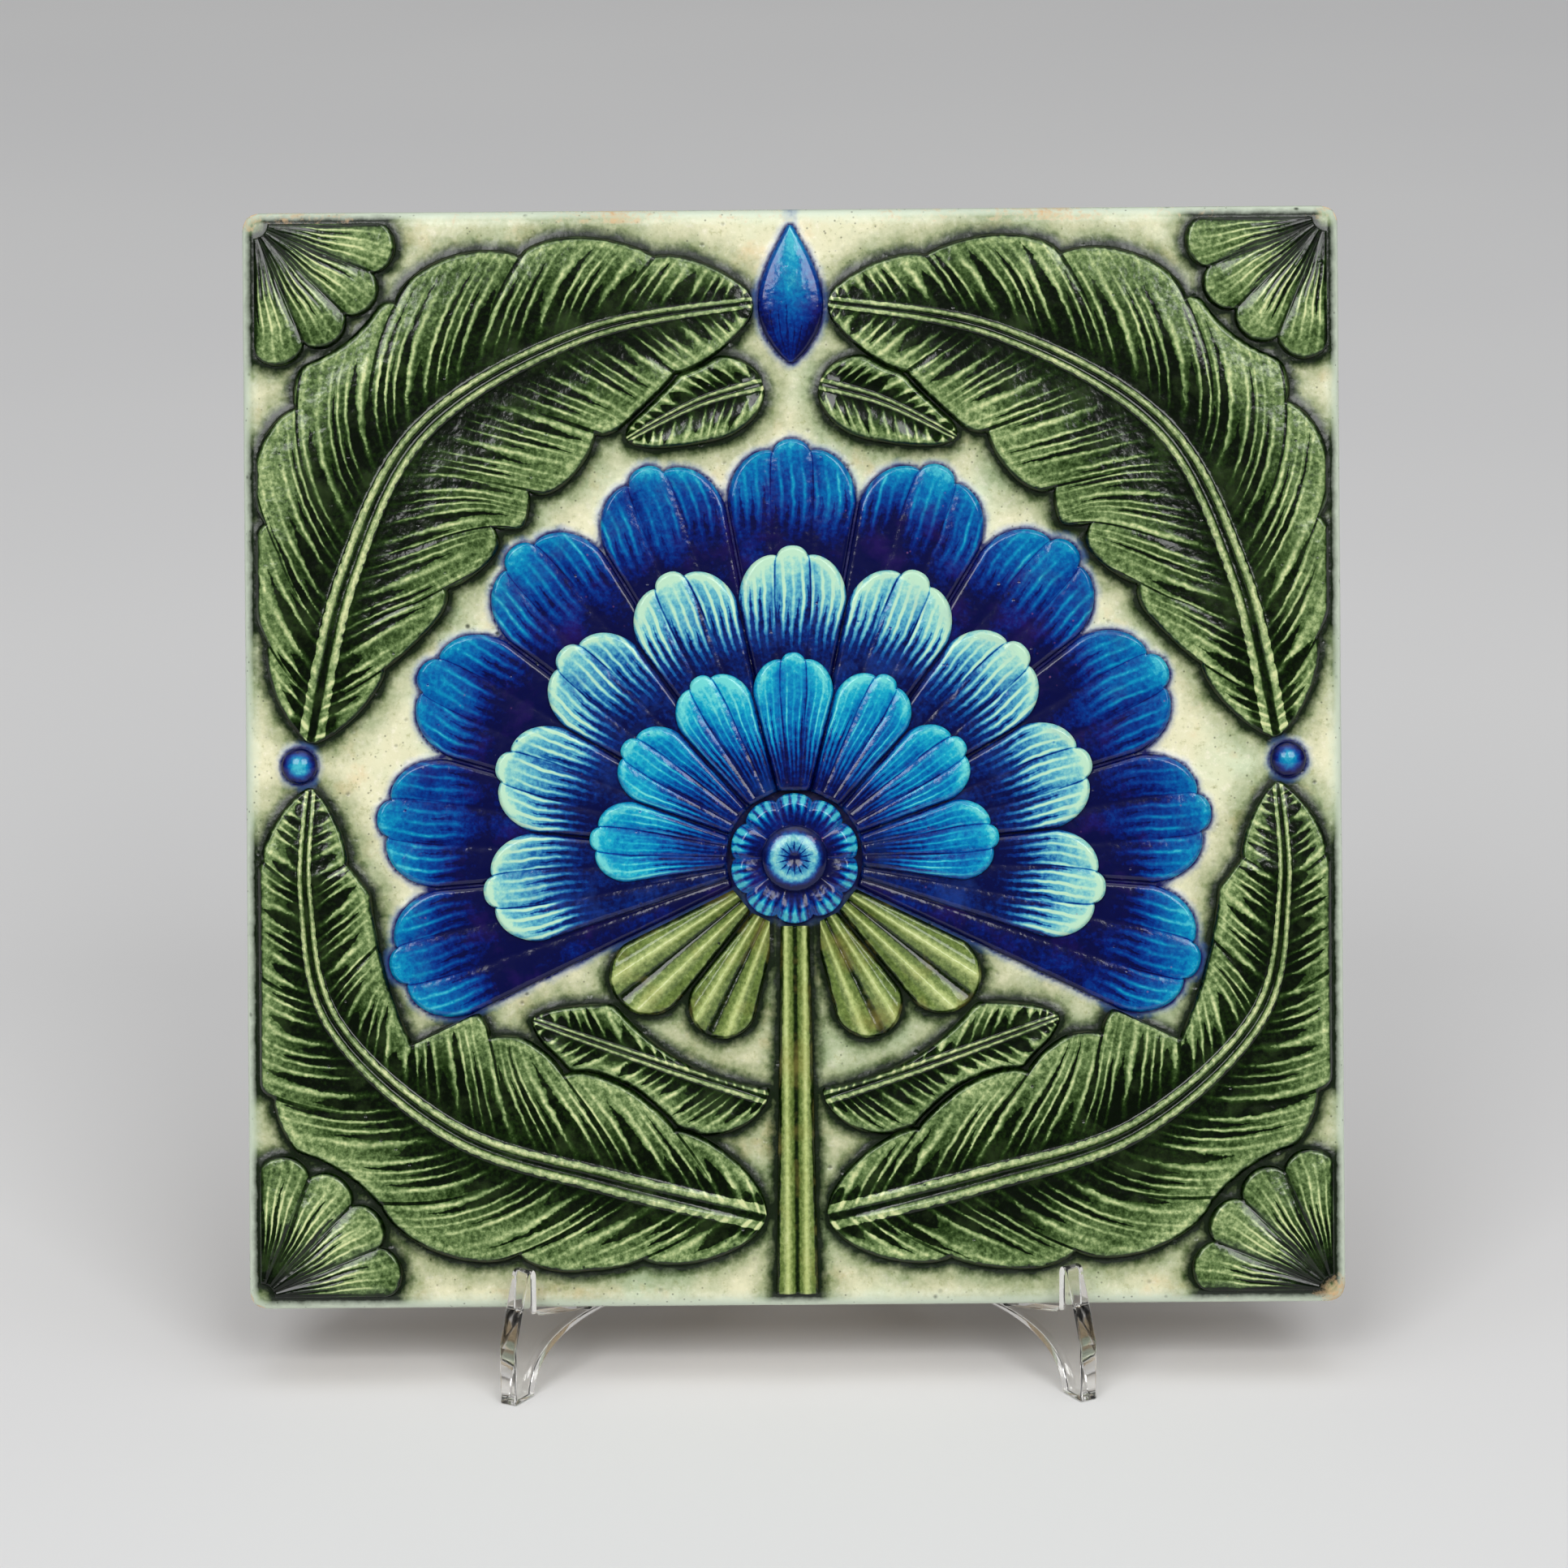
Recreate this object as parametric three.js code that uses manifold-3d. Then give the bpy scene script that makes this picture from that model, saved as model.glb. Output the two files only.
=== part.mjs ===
// A square glazed relief tile that leans on a clear folding stand of two hinged halves.
// Sizes are in millimetres. X runs to the right, Y away from the viewer and Z up.
// The origin is on the table, under the middle of the stand's depth.
import * as THREE from "three";
import { mergeVertices } from "three/addons/utils/BufferGeometryUtils.js";
import Module from "manifold-3d";

const wasm = await Module();
wasm.setup();
const degree = Math.PI / 180;

// The clay slab, pressed with keying pockets in its back.
const tileSize = 152.4;
const slabThickness = 8.5;
const slabCornerRadius = 1.4;
const slabEdgeRound = 0.8;
const pocketRows = 7;
const pocketHeight = 9;
const pocketDepth = 1.3;
const pocketMargin = 14;

// The glaze over the face, and the small seat that each layer keeps from the one below it.
const glazeThickness = 0.5;
const glazeInset = 0.6;
const seat = 0.2;
const faceMargin = 1.8;

// The raised fan blossom: three tiers of round-ended petals that stand on one another. A tier's
// reach is its share of the blossom's radius.
const blossomBorder = 18;
const blossomDrop = 14;
const tierThickness = 0.75;
const petalGap = 0.4;
const petalRimShare = 0.5;
const fanSpread = 105;
const tiers = [
  { name: "petal_outer", count: 11, spread: fanSpread, reach: 1 },
  { name: "petal_middle", count: 9, spread: 96, reach: 0.745 },
  { name: "petal_inner", count: 7, spread: 84, reach: 0.49 },
];

// The green sepals under the fan, which turn and reach like its petals.
const sepalPitch = 25;
const sepals = [
  { turn: 128.5, reach: 0.54 },
  { turn: 153.5, reach: 0.47 },
];

// The boss at the blossom's focus, with the eye on it.
const heartRadius = 9;
const heartLobes = 10;
const heartLobeSteps = 6;
const heartLobeDepth = 0.9;
const heartRise = 0.7;
const heartRound = 0.6;
const eyeRadius = 4.6;
const eyeHeight = 1.2;

// The raised leaves, their stem, and the small motifs round them.
const leafThickness = 1.8;
const leafEdge = 0.6;
const tipHalfWidth = 0.35;
const upperLeafHalfWidth = 19;
const lowerLeafHalfWidth = 16;
const upperSmallLeafHalfWidth = 5.5;
const lowerSmallLeafHalfWidth = 8;
const leafLobes = 7;
const leafLobeSteps = 4;
const plainLeafSteps = 10;
const lobeDepth = 0.17;
const stemTopHalfWidth = 2;
const stemFootHalfWidth = 2.9;
const berryRadius = 2.5;
const berryHeight = 1.6;
const budLength = 19;
const budHalfWidth = 4.2;
const cornerRadius = 20;
const cornerHub = 2;
const cornerLobes = 4;
const cornerLobeSteps = 6;
const cornerLobeShare = 0.12;
const reliefGap = 0.6;

// How the tile stands.
const leanAngle = 15;
const tileRestHeight = 9;
const tileGap = 0.3;

// The clear stand: two flat halves that meet on an upright pin at the back. Its front edges stand
// upright as far as legBend, and from there lean back like the tile up to the tips of the lips.
const standThickness = 2.7;
const standReach = 75.8;
const openAngle = 30.8;
const foldGap = 0.15;
const lipSetback = 5.7;
const lipTop = 18.4;
const legBend = 8;
const legDepth = 4.6;
const archHeight = 7.3;
const archBend = 17;
const archSlope = 1;
const rearFootDepth = 11;
const restTop = 70;
const restTipWidth = 4.4;
const braceSag = 11;
const notchRound = 0.8;
const hingeHeight = 30;
const knuckleRadius = 3.6;
const knuckleFloor = 2.2;
const knuckleGap = 0.3;
const strapOverlap = 0.5;
const pinRadius = 1.2;
const pinClearance = 0.12;
const pinHeadRadius = 2.3;
const pinHeadHeight = 0.7;
const roundSides = 24;

const clay = new THREE.MeshStandardMaterial({ color: 0xd6c09a, roughness: 0.8 });
const creamGlaze = new THREE.MeshStandardMaterial({ color: 0xe6e6cc, roughness: 0.15 });
const leafGlaze = new THREE.MeshStandardMaterial({ color: 0x67854a, roughness: 0.15 });
const stemGlaze = new THREE.MeshStandardMaterial({ color: 0xa3ba74, roughness: 0.15 });
const cobaltGlaze = new THREE.MeshStandardMaterial({ color: 0x1a4ba6, roughness: 0.15 });
const turquoiseGlaze = new THREE.MeshStandardMaterial({ color: 0x2b86c0, roughness: 0.15 });
const paleBlueGlaze = new THREE.MeshStandardMaterial({ color: 0x8fc3cd, roughness: 0.15 });
const clearPlastic = new THREE.MeshStandardMaterial({
  color: 0xe9efee,
  roughness: 0.08,
  transparent: true,
  opacity: 0.35,
});

// Turns a three.js geometry into a solid that can be cut and joined, and back again.
function toSolid(geometry) {
  const bare = geometry.clone();
  bare.deleteAttribute("normal");
  bare.deleteAttribute("uv");
  const merged = mergeVertices(bare, 1e-4);
  return new wasm.Manifold(
    new wasm.Mesh({
      numProp: 3,
      vertProperties: new Float32Array(merged.attributes.position.array),
      triVerts: new Uint32Array(merged.index.array),
    }),
  );
}

function toGeometry(solid) {
  const mesh = solid.getMesh();
  const geometry = new THREE.BufferGeometry();
  geometry.setAttribute("position", new THREE.BufferAttribute(mesh.vertProperties, 3));
  geometry.setIndex(new THREE.BufferAttribute(mesh.triVerts, 1));
  geometry.computeVertexNormals();
  return geometry;
}

function addMesh(group, name, geometry, material) {
  const mesh = new THREE.Mesh(geometry, material);
  mesh.name = name;
  group.add(mesh);
  return mesh;
}

// A raised patch with a flat underside at z = 0. place(v, u) gives a point of its plan, with v from
// 0 to 1 along it and u from -1 to 1 across it, to the right of v. height(v, u) gives its top there.
function reliefPatch(alongSteps, acrossSteps, place, height) {
  const positions = [];
  const faces = [];
  const row = acrossSteps + 1;
  for (let i = 0; i <= alongSteps; i++) {
    for (let j = 0; j <= acrossSteps; j++) {
      const v = i / alongSteps;
      const u = (2 * j) / acrossSteps - 1;
      positions.push(...place(v, u), height(v, u));
    }
  }
  for (let i = 0; i < alongSteps; i++) {
    for (let j = 0; j < acrossSteps; j++) {
      const a = i * row + j;
      faces.push(a, a + 1, a + row + 1, a, a + row + 1, a + row);
    }
  }
  const rim = [];
  for (let j = 0; j < acrossSteps; j++) rim.push(j);
  for (let i = 0; i < alongSteps; i++) rim.push(i * row + acrossSteps);
  for (let j = acrossSteps; j > 0; j--) rim.push(alongSteps * row + j);
  for (let i = alongSteps; i > 0; i--) rim.push(i * row);
  const base = positions.length / 3;
  const outline = rim.map((k) => new THREE.Vector2(positions[3 * k], positions[3 * k + 1]));
  outline.forEach((point) => positions.push(point.x, point.y, 0));
  rim.forEach((top, k) => {
    const next = (k + 1) % rim.length;
    faces.push(base + k, base + next, rim[next], base + k, rim[next], top);
  });
  THREE.ShapeUtils.triangulateShape(outline, []).forEach(([a, b, c]) => {
    faces.push(base + a, base + c, base + b);
  });
  const geometry = new THREE.BufferGeometry();
  geometry.setAttribute("position", new THREE.BufferAttribute(new Float32Array(positions), 3));
  geometry.setIndex(faces);
  return geometry;
}

// The face's pattern is laid out from the middle of the tile. Points are given in shares of half
// its width, so that the pattern keeps its place on a tile of any size.
const halfTile = tileSize / 2;
const halfFace = halfTile - faceMargin;
const at = (x, y) => new THREE.Vector2(x * halfTile, y * halfTile);
const blossomRadius = halfTile - blossomBorder;
const blossomFocus = new THREE.Vector2(0, -blossomDrop);
const glazeBase = slabThickness + seat;
const reliefBase = glazeBase + glazeThickness + seat;

function prism(outline, low, high) {
  const shape = new THREE.Shape(outline);
  const geometry = new THREE.ExtrudeGeometry(shape, { depth: high - low, bevelEnabled: false });
  return toSolid(geometry.translate(0, 0, low));
}

function roundSquare(halfWidth, radius) {
  const shape = new THREE.Shape();
  const inner = halfWidth - radius;
  shape.absarc(inner, inner, radius, 0, 90 * degree);
  shape.absarc(-inner, inner, radius, 90 * degree, 180 * degree);
  shape.absarc(-inner, -inner, radius, 180 * degree, 270 * degree);
  shape.absarc(inner, -inner, radius, 270 * degree, 360 * degree);
  return shape;
}

// Room that a neighbour keeps for itself: a round sector about a centre, from one turn to another.
// A turn is counted clockwise from straight up.
function sector(centre, radius, fromTurn, toTurn) {
  const steps = 40;
  const outline = [centre.clone()];
  for (let k = 0; k <= steps; k++) {
    const turn = THREE.MathUtils.lerp(fromTurn, toTurn, k / steps) * degree;
    outline.push(new THREE.Vector2(Math.sin(turn), Math.cos(turn)).multiplyScalar(radius).add(centre));
  }
  return prism(outline, -1, reliefBase);
}

// Room under a strip of the face, as wide as halfWidth to either side of the middle line.
function strip(halfWidth, low, high) {
  const corners = [
    [-halfWidth, low],
    [halfWidth, low],
    [halfWidth, high],
    [-halfWidth, high],
  ];
  return prism(corners.map(([x, y]) => new THREE.Vector2(x, y)), -1, reliefBase);
}

const fanEdge = fanSpread + fanSpread / (tiers[0].count - 1);
const blossomRoom = sector(blossomFocus, blossomRadius + reliefGap, -fanEdge, fanEdge);
const sepalReach = blossomRadius * Math.max(...sepals.map((sepal) => sepal.reach));
const sepalRoom = sector(blossomFocus, sepalReach + reliefGap, fanEdge, 360 - fanEdge);
const stemRoom = strip(stemFootHalfWidth + reliefGap, -halfTile, -blossomDrop);
const budRoom = strip(budHalfWidth + tipHalfWidth + reliefGap, halfTile - budLength, halfTile);
const cornerCentres = [0, 1, 2, 3].map((quarter) =>
  new THREE.Vector2(halfFace, halfFace).rotateAround(new THREE.Vector2(), quarter * 90 * degree),
);
const cornerRooms = cornerCentres.map((centre) => sector(centre, cornerRadius + reliefGap, 0, 360));
const faceRoom = strip(halfFace, -halfFace, halfFace);

// Keeps a relief piece on the face and out of the room of what lies beside it.
function trimmed(solid, rooms) {
  const kept = rooms.reduce((rest, room) => rest.subtract(room), solid.intersect(faceRoom));
  const largest = kept.decompose().sort((a, b) => b.volume() - a.volume())[0];
  return toGeometry(largest);
}

function makeSlab() {
  const halfOutline = halfTile - slabEdgeRound;
  const slab = new THREE.ExtrudeGeometry(roundSquare(halfOutline, slabCornerRadius), {
    depth: slabThickness - 2 * slabEdgeRound,
    bevelThickness: slabEdgeRound,
    bevelSize: slabEdgeRound,
    bevelSegments: 3,
    curveSegments: 4,
  }).translate(0, 0, slabEdgeRound);
  const pocketSpan = tileSize - 2 * pocketMargin;
  const pitch = (pocketSpan - pocketHeight) / (pocketRows - 1);
  let solid = toSolid(slab);
  for (let k = 0; k < pocketRows; k++) {
    const pocket = new THREE.BoxGeometry(pocketSpan, pocketHeight, 2 * pocketDepth);
    solid = solid.subtract(toSolid(pocket.translate(0, (k - (pocketRows - 1) / 2) * pitch, 0)));
  }
  return toGeometry(solid);
}

function makeGlaze() {
  const geometry = new THREE.ExtrudeGeometry(roundSquare(halfTile - glazeInset, slabCornerRadius), {
    depth: glazeThickness,
    bevelEnabled: false,
    curveSegments: 4,
  });
  return geometry.translate(0, 0, glazeBase);
}

// A petal is a wedge from the blossom's focus with a half-round end. Its stations are pairs of a
// distance from the focus and a half-width there.
function petalStations(root, radius, pitch) {
  const slope = Math.tan((pitch / 2) * degree);
  const endRadius = (radius * slope) / (1 + slope) - petalGap / 2;
  const centre = radius - endRadius;
  const stations = [0, 0.35, 0.7].map((share) => {
    const distance = THREE.MathUtils.lerp(root, centre, share);
    return [distance, distance * slope - petalGap / 2];
  });
  for (const turn of [0, 25, 48, 66, 80]) {
    stations.push([
      centre + endRadius * Math.sin(turn * degree),
      endRadius * Math.cos(turn * degree),
    ]);
  }
  return stations;
}

function makePetal(turn, stations, thickness) {
  const along = new THREE.Vector2(Math.sin(turn * degree), Math.cos(turn * degree));
  const across = new THREE.Vector2(along.y, -along.x);
  const steps = stations.length - 1;
  const place = (v, u) => {
    const [distance, halfWidth] = stations[Math.round(v * steps)];
    const point = blossomFocus.clone();
    point.addScaledVector(along, distance).addScaledVector(across, u * halfWidth);
    return [point.x, point.y];
  };
  const height = (v, u) => {
    const station = Math.round(v * steps);
    const crown = station === 0 || station === steps ? 0 : 1 - u * u;
    return thickness * THREE.MathUtils.lerp(petalRimShare, 1, crown);
  };
  return reliefPatch(steps, 2, place, height);
}

// A leaf follows its spine with scalloped lobes on both sides of a raised midrib. fullness moves
// its widest part along it, and side is 1 on the right and -1 for the mirror image on the left.
function leafPlan({ spine, halfWidth, lobes, fullness }, side, spare = 0) {
  return (v, u) => {
    const point = spine.getPoint(v);
    const tangent = spine.getTangent(v);
    const swell = Math.pow(Math.sin(Math.PI * Math.pow(v, fullness)), 0.85);
    const scallop = lobes ? 1 - lobeDepth * (1 - Math.sqrt(Math.abs(Math.sin(lobes * Math.PI * v)))) : 1;
    const reach = side * u * (tipHalfWidth + spare + halfWidth * Math.max(swell, 0) * scallop);
    return [side * (point.x + tangent.y * reach), point.y - tangent.x * reach];
  };
}

const leafSteps = (leaf) => (leaf.lobes ? leafLobeSteps * leaf.lobes : plainLeafSteps);

function makeLeaf(leaf, side) {
  const height = (v, u) => {
    const ends = Math.min(1, 6 * v, 6 * (1 - v));
    const crown = Math.abs(u) > 0.99 ? 0 : 0.75 + 0.25 * Math.cos(3 * Math.PI * u);
    return leafEdge + (leafThickness - leafEdge) * ends * crown;
  };
  return toSolid(reliefPatch(leafSteps(leaf), leaf.lobes ? 6 : 2, leafPlan(leaf, side), height));
}

function leafRoom(leaf, side) {
  const plan = leafPlan(leaf, side, reliefGap);
  const patch = reliefPatch(leafSteps(leaf), 2, plan, () => reliefBase + 1);
  return toSolid(patch).translate([0, 0, -1]);
}

function makeStem() {
  const top = -blossomDrop - heartRadius - petalGap;
  const place = (v, u) => [
    u * THREE.MathUtils.lerp(stemFootHalfWidth, stemTopHalfWidth, v),
    THREE.MathUtils.lerp(-halfFace, top, v),
  ];
  return reliefPatch(6, 4, place, (v, u) => leafThickness * (1 - 0.6 * u * u));
}

// A quarter rosette fills each corner, so that four tiles set together make whole ones.
function makeCornerRosette(quarter) {
  const centre = cornerCentres[quarter];
  const lobe = (v) => Math.sqrt(Math.abs(Math.sin(cornerLobes * Math.PI * v)));
  const place = (v, u) => {
    const outer = cornerRadius * (1 - cornerLobeShare * (1 - lobe(v)));
    const radius = THREE.MathUtils.lerp(cornerHub, outer, (u + 1) / 2);
    const angle = (180 + 90 * v + 90 * quarter) * degree;
    return [centre.x + radius * Math.cos(angle), centre.y + radius * Math.sin(angle)];
  };
  const height = (v, u) => {
    const crown = Math.abs(u) > 0.99 ? 0 : 0.3 + 0.7 * lobe(v);
    return leafEdge + (leafThickness - leafEdge) * crown;
  };
  return reliefPatch(cornerLobeSteps * cornerLobes, 4, place, height);
}

function makeDome(radius, height, centre) {
  const ball = toSolid(new THREE.SphereGeometry(1, 16, 10).rotateX(Math.PI / 2));
  const lower = toSolid(new THREE.BoxGeometry(4, 4, 2).translate(0, 0, -1));
  const dome = toGeometry(ball.subtract(lower));
  return dome.scale(radius, radius, height).translate(centre.x, centre.y, 0);
}

function makeHeart(height) {
  const outline = [];
  for (let k = 0; k < heartLobeSteps * heartLobes; k++) {
    const share = k / (heartLobeSteps * heartLobes);
    const lobe = Math.sqrt(Math.abs(Math.sin(heartLobes * Math.PI * share)));
    const radius = heartRadius - heartRound - heartLobeDepth * (1 - lobe);
    const angle = 2 * Math.PI * share;
    outline.push(new THREE.Vector2(radius * Math.cos(angle), radius * Math.sin(angle)));
  }
  const boss = new THREE.ExtrudeGeometry(new THREE.Shape(outline), {
    depth: height - heartRound,
    bevelThickness: heartRound,
    bevelSize: heartRound,
    bevelSegments: 2,
  });
  const below = new THREE.BoxGeometry(4 * heartRadius, 4 * heartRadius, 2).translate(0, 0, -1);
  const geometry = toGeometry(toSolid(boss).subtract(toSolid(below)));
  return geometry.translate(blossomFocus.x, blossomFocus.y, 0);
}

function makeBud() {
  const place = (v, u) => {
    const halfWidth = tipHalfWidth + budHalfWidth * Math.sin(Math.PI * Math.pow(v, 0.8));
    return [u * halfWidth, halfFace - reliefGap - budLength * (1 - v)];
  };
  return reliefPatch(8, 2, place, (v, u) => (Math.abs(u) > 0.5 ? leafEdge : leafThickness));
}

const object = new THREE.Group();

// The tile group's x is the object's x, its y runs up the face and its z out of the face.
const tile = new THREE.Group();
addMesh(tile, "tile_body", makeSlab().translate(0, halfTile, 0), clay);
addMesh(tile, "ground_glaze", makeGlaze().translate(0, halfTile, 0), creamGlaze);

function addRelief(name, geometry, material, level = reliefBase) {
  addMesh(tile, name, geometry.translate(0, halfTile, level), material);
}

const tierGlazes = [cobaltGlaze, paleBlueGlaze, turquoiseGlaze];
const petalRoot = heartRadius + petalGap;
tiers.forEach((tier, k) => {
  const pitch = (2 * tier.spread) / (tier.count - 1);
  const stations = petalStations(petalRoot, blossomRadius * tier.reach, pitch);
  for (let n = 0; n < tier.count; n++) {
    const petal = makePetal(-tier.spread + n * pitch, stations, tierThickness);
    const name = `${tier.name}_${String(n + 1).padStart(2, "0")}`;
    addRelief(name, petal, tierGlazes[k], reliefBase + k * (tierThickness + seat));
  }
});
const heartTop = tiers.length * (tierThickness + seat) + heartRise;
addRelief("blossom_heart", makeHeart(heartTop), cobaltGlaze);
const eye = makeDome(eyeRadius, eyeHeight, blossomFocus);
addRelief("blossom_eye", eye, paleBlueGlaze, reliefBase + heartTop + seat);

const upperLeaf = {
  spine: new THREE.SplineCurve([
    at(0.88, 0.03),
    at(0.81, 0.33),
    at(0.67, 0.6),
    at(0.38, 0.77),
    at(0.06, 0.83),
  ]),
  halfWidth: upperLeafHalfWidth,
  lobes: leafLobes,
  fullness: 1,
};
const lowerLeaf = {
  spine: new THREE.SplineCurve([
    at(0.055, -0.84),
    at(0.34, -0.77),
    at(0.62, -0.68),
    at(0.84, -0.48),
    at(0.89, -0.25),
    at(0.88, -0.05),
  ]),
  halfWidth: lowerLeafHalfWidth,
  lobes: leafLobes,
  fullness: 0.8,
};
const upperSmallLeaf = {
  spine: new THREE.SplineCurve([at(0.05, 0.68), at(0.17, 0.645), at(0.3, 0.58)]),
  halfWidth: upperSmallLeafHalfWidth,
  lobes: 0,
  fullness: 0.8,
};
const lowerSmallLeaf = {
  spine: new THREE.SplineCurve([at(0.05, -0.62), at(0.24, -0.56), at(0.48, -0.475)]),
  halfWidth: lowerSmallLeafHalfWidth,
  lobes: 0,
  fullness: 0.8,
};
const berryPlace = at(0.9, -0.01);
for (const [side, label] of [
  [-1, "left"],
  [1, "right"],
]) {
  const berryCentre = new THREE.Vector2(side * berryPlace.x, berryPlace.y);
  const berryRoom = sector(berryCentre, berryRadius + reliefGap, 0, 360);
  const rooms = [blossomRoom, sepalRoom, stemRoom, budRoom, berryRoom, ...cornerRooms];
  for (const [level, leaf, smallLeaf] of [
    ["upper", upperLeaf, upperSmallLeaf],
    ["lower", lowerLeaf, lowerSmallLeaf],
  ]) {
    const small = trimmed(makeLeaf(smallLeaf, side), [...rooms, leafRoom(leaf, side)]);
    addRelief(`leaf_${level}_${label}`, trimmed(makeLeaf(leaf, side), rooms), leafGlaze);
    addRelief(`small_leaf_${level}_${label}`, small, leafGlaze);
  }
  addRelief(`berry_${label}`, makeDome(berryRadius, berryHeight, berryCentre), cobaltGlaze);
  sepals.forEach(({ turn, reach }, k) => {
    const stations = petalStations(petalRoot, blossomRadius * reach, sepalPitch);
    const sepal = toSolid(makePetal(side * turn, stations, leafThickness));
    addRelief(`sepal_${label}_${k + 1}`, trimmed(sepal, [stemRoom]), stemGlaze);
  });
}
addRelief("stem", makeStem(), stemGlaze);
addRelief("top_bud", makeBud(), cobaltGlaze);
["upper_right", "upper_left", "lower_left", "lower_right"].forEach((label, quarter) => {
  addRelief(`corner_rosette_${label}`, makeCornerRosette(quarter), leafGlaze);
});

// Where the stand's halves meet, and where the tile sits in their notches. A half runs out from
// the pin at openAngle to either side of straight forward.
const forward = Math.cos(openAngle * degree);
const sideways = Math.sin(openAngle * degree);
const lean = Math.tan(leanAngle * degree);
const outerFace = standThickness + foldGap;
const pinY = (standReach * forward - foldGap * sideways - knuckleRadius) / 2;
const lipFront = (height) => standReach - (Math.max(height - legBend, 0) * lean) / forward;
const lipInner = standReach - lipSetback;
const lipInnerY = pinY - lipInner * forward + outerFace * sideways;
const tileFrontDepth = reliefBase + leafThickness;
const reliefFootY = tileFrontDepth * Math.cos(leanAngle * degree) - faceMargin * Math.sin(leanAngle * degree);
const tileBackY = lipInnerY + tileGap + reliefFootY;
const ledgeHeight = (reach) => {
  const y = pinY - reach * forward + outerFace * sideways;
  return tileRestHeight + (tileBackY - y) * lean - tileGap;
};
const restReach = (height) => {
  const tileBack = tileBackY + (height - tileRestHeight) * lean + tileGap;
  return (pinY + foldGap * sideways - tileBack) / forward;
};
tile.rotation.x = (90 - leanAngle) * degree;
tile.position.set(0, tileBackY, tileRestHeight);
object.add(tile);

// The corner of the notch where the ledge meets the rest, found by walking towards it.
function notchCorner() {
  let height = tileRestHeight;
  for (let k = 0; k < 20; k++) height = ledgeHeight(restReach(height));
  return new THREE.Vector2(restReach(height), height);
}

// One half in its own plane: x is the distance from the pin and y is up.
function standOutline() {
  const inner = knuckleRadius + knuckleGap;
  const rearFoot = inner + rearFootDepth;
  const legBack = standReach - legDepth;
  const lipRound = (lipFront(lipTop) - lipInner) / 2;
  const tipHeight = lipTop - lipRound;
  const lipFoot = ledgeHeight(lipInner);
  const corner = notchCorner();
  const restRound = restTipWidth / 2;
  const restTip = restReach(restTop - restRound);
  const shape = new THREE.Shape();
  shape.moveTo(inner, 0);
  shape.lineTo(rearFoot, 0);
  shape.quadraticCurveTo(rearFoot + archSlope, archHeight, rearFoot + archBend, archHeight);
  shape.lineTo(legBack - archBend, archHeight);
  shape.quadraticCurveTo(legBack - archSlope, archHeight, legBack, 0);
  shape.lineTo(standReach, 0);
  shape.lineTo(standReach, legBend);
  shape.absarc(lipInner + lipRound, tipHeight, lipRound, 0, 180 * degree);
  shape.lineTo(lipInner, lipFoot + notchRound);
  shape.lineTo(lipInner - notchRound, ledgeHeight(lipInner - notchRound));
  shape.lineTo(corner.x + notchRound, ledgeHeight(corner.x + notchRound));
  shape.lineTo(restReach(corner.y + notchRound), corner.y + notchRound);
  shape.lineTo(restTip, restTop - restRound);
  shape.absarc(restTip - restRound, restTop - restRound, restRound, 0, 180 * degree);
  shape.quadraticCurveTo(
    (restTip + inner) / 2 + braceSag / 2,
    (restTop + hingeHeight) / 2 - braceSag,
    inner,
    hingeHeight,
  );
  return shape;
}

function knuckle(low, high) {
  const barrel = new THREE.CylinderGeometry(knuckleRadius, knuckleRadius, high - low, roundSides);
  return toSolid(barrel.translate(0, (low + high) / 2, 0));
}

// levels holds the heights between which this half has knuckles, each tied to it by a strap. near
// is the side of the hinge's plane on which the half lies, so that the two fold flat together.
function makeStandHalf(levels, near) {
  const plate = new THREE.ExtrudeGeometry(standOutline(), {
    depth: standThickness,
    bevelEnabled: false,
    curveSegments: 8,
  });
  const offset = near > 0 ? foldGap : -outerFace;
  const strapReach = knuckleRadius + knuckleGap + strapOverlap;
  let solid = toSolid(plate.translate(0, 0, offset));
  for (const [low, high] of levels) {
    const strap = new THREE.BoxGeometry(strapReach, high - low, standThickness);
    const middle = offset + standThickness / 2;
    solid = solid.add(toSolid(strap.translate(strapReach / 2, (low + high) / 2, middle)));
    solid = solid.add(knuckle(low, high));
  }
  const bore = pinRadius + pinClearance;
  const hole = new THREE.CylinderGeometry(bore, bore, 3 * hingeHeight, roundSides);
  return toGeometry(solid.subtract(toSolid(hole)));
}

const knuckleTop = hingeHeight - pinHeadHeight - knuckleGap;
const knuckleLength = (knuckleTop - knuckleFloor - 2 * knuckleGap) / 3;
const middleLow = knuckleFloor + knuckleLength + knuckleGap;
const middleHigh = middleLow + knuckleLength;
const leftLevels = [
  [knuckleFloor, knuckleFloor + knuckleLength],
  [middleHigh + knuckleGap, knuckleTop],
];

function makePin() {
  const low = knuckleFloor - 0.5 * knuckleGap;
  const high = knuckleTop + 0.5 * knuckleGap;
  const profile = [
    [0, low - pinHeadHeight],
    [pinHeadRadius, low - pinHeadHeight],
    [pinHeadRadius, low],
    [pinRadius, low],
    [pinRadius, high],
    [pinHeadRadius, high],
    [pinHeadRadius, high + pinHeadHeight],
    [0, high + pinHeadHeight],
  ];
  return new THREE.LatheGeometry(profile.map(([x, y]) => new THREE.Vector2(x, y)), roundSides);
}

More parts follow.
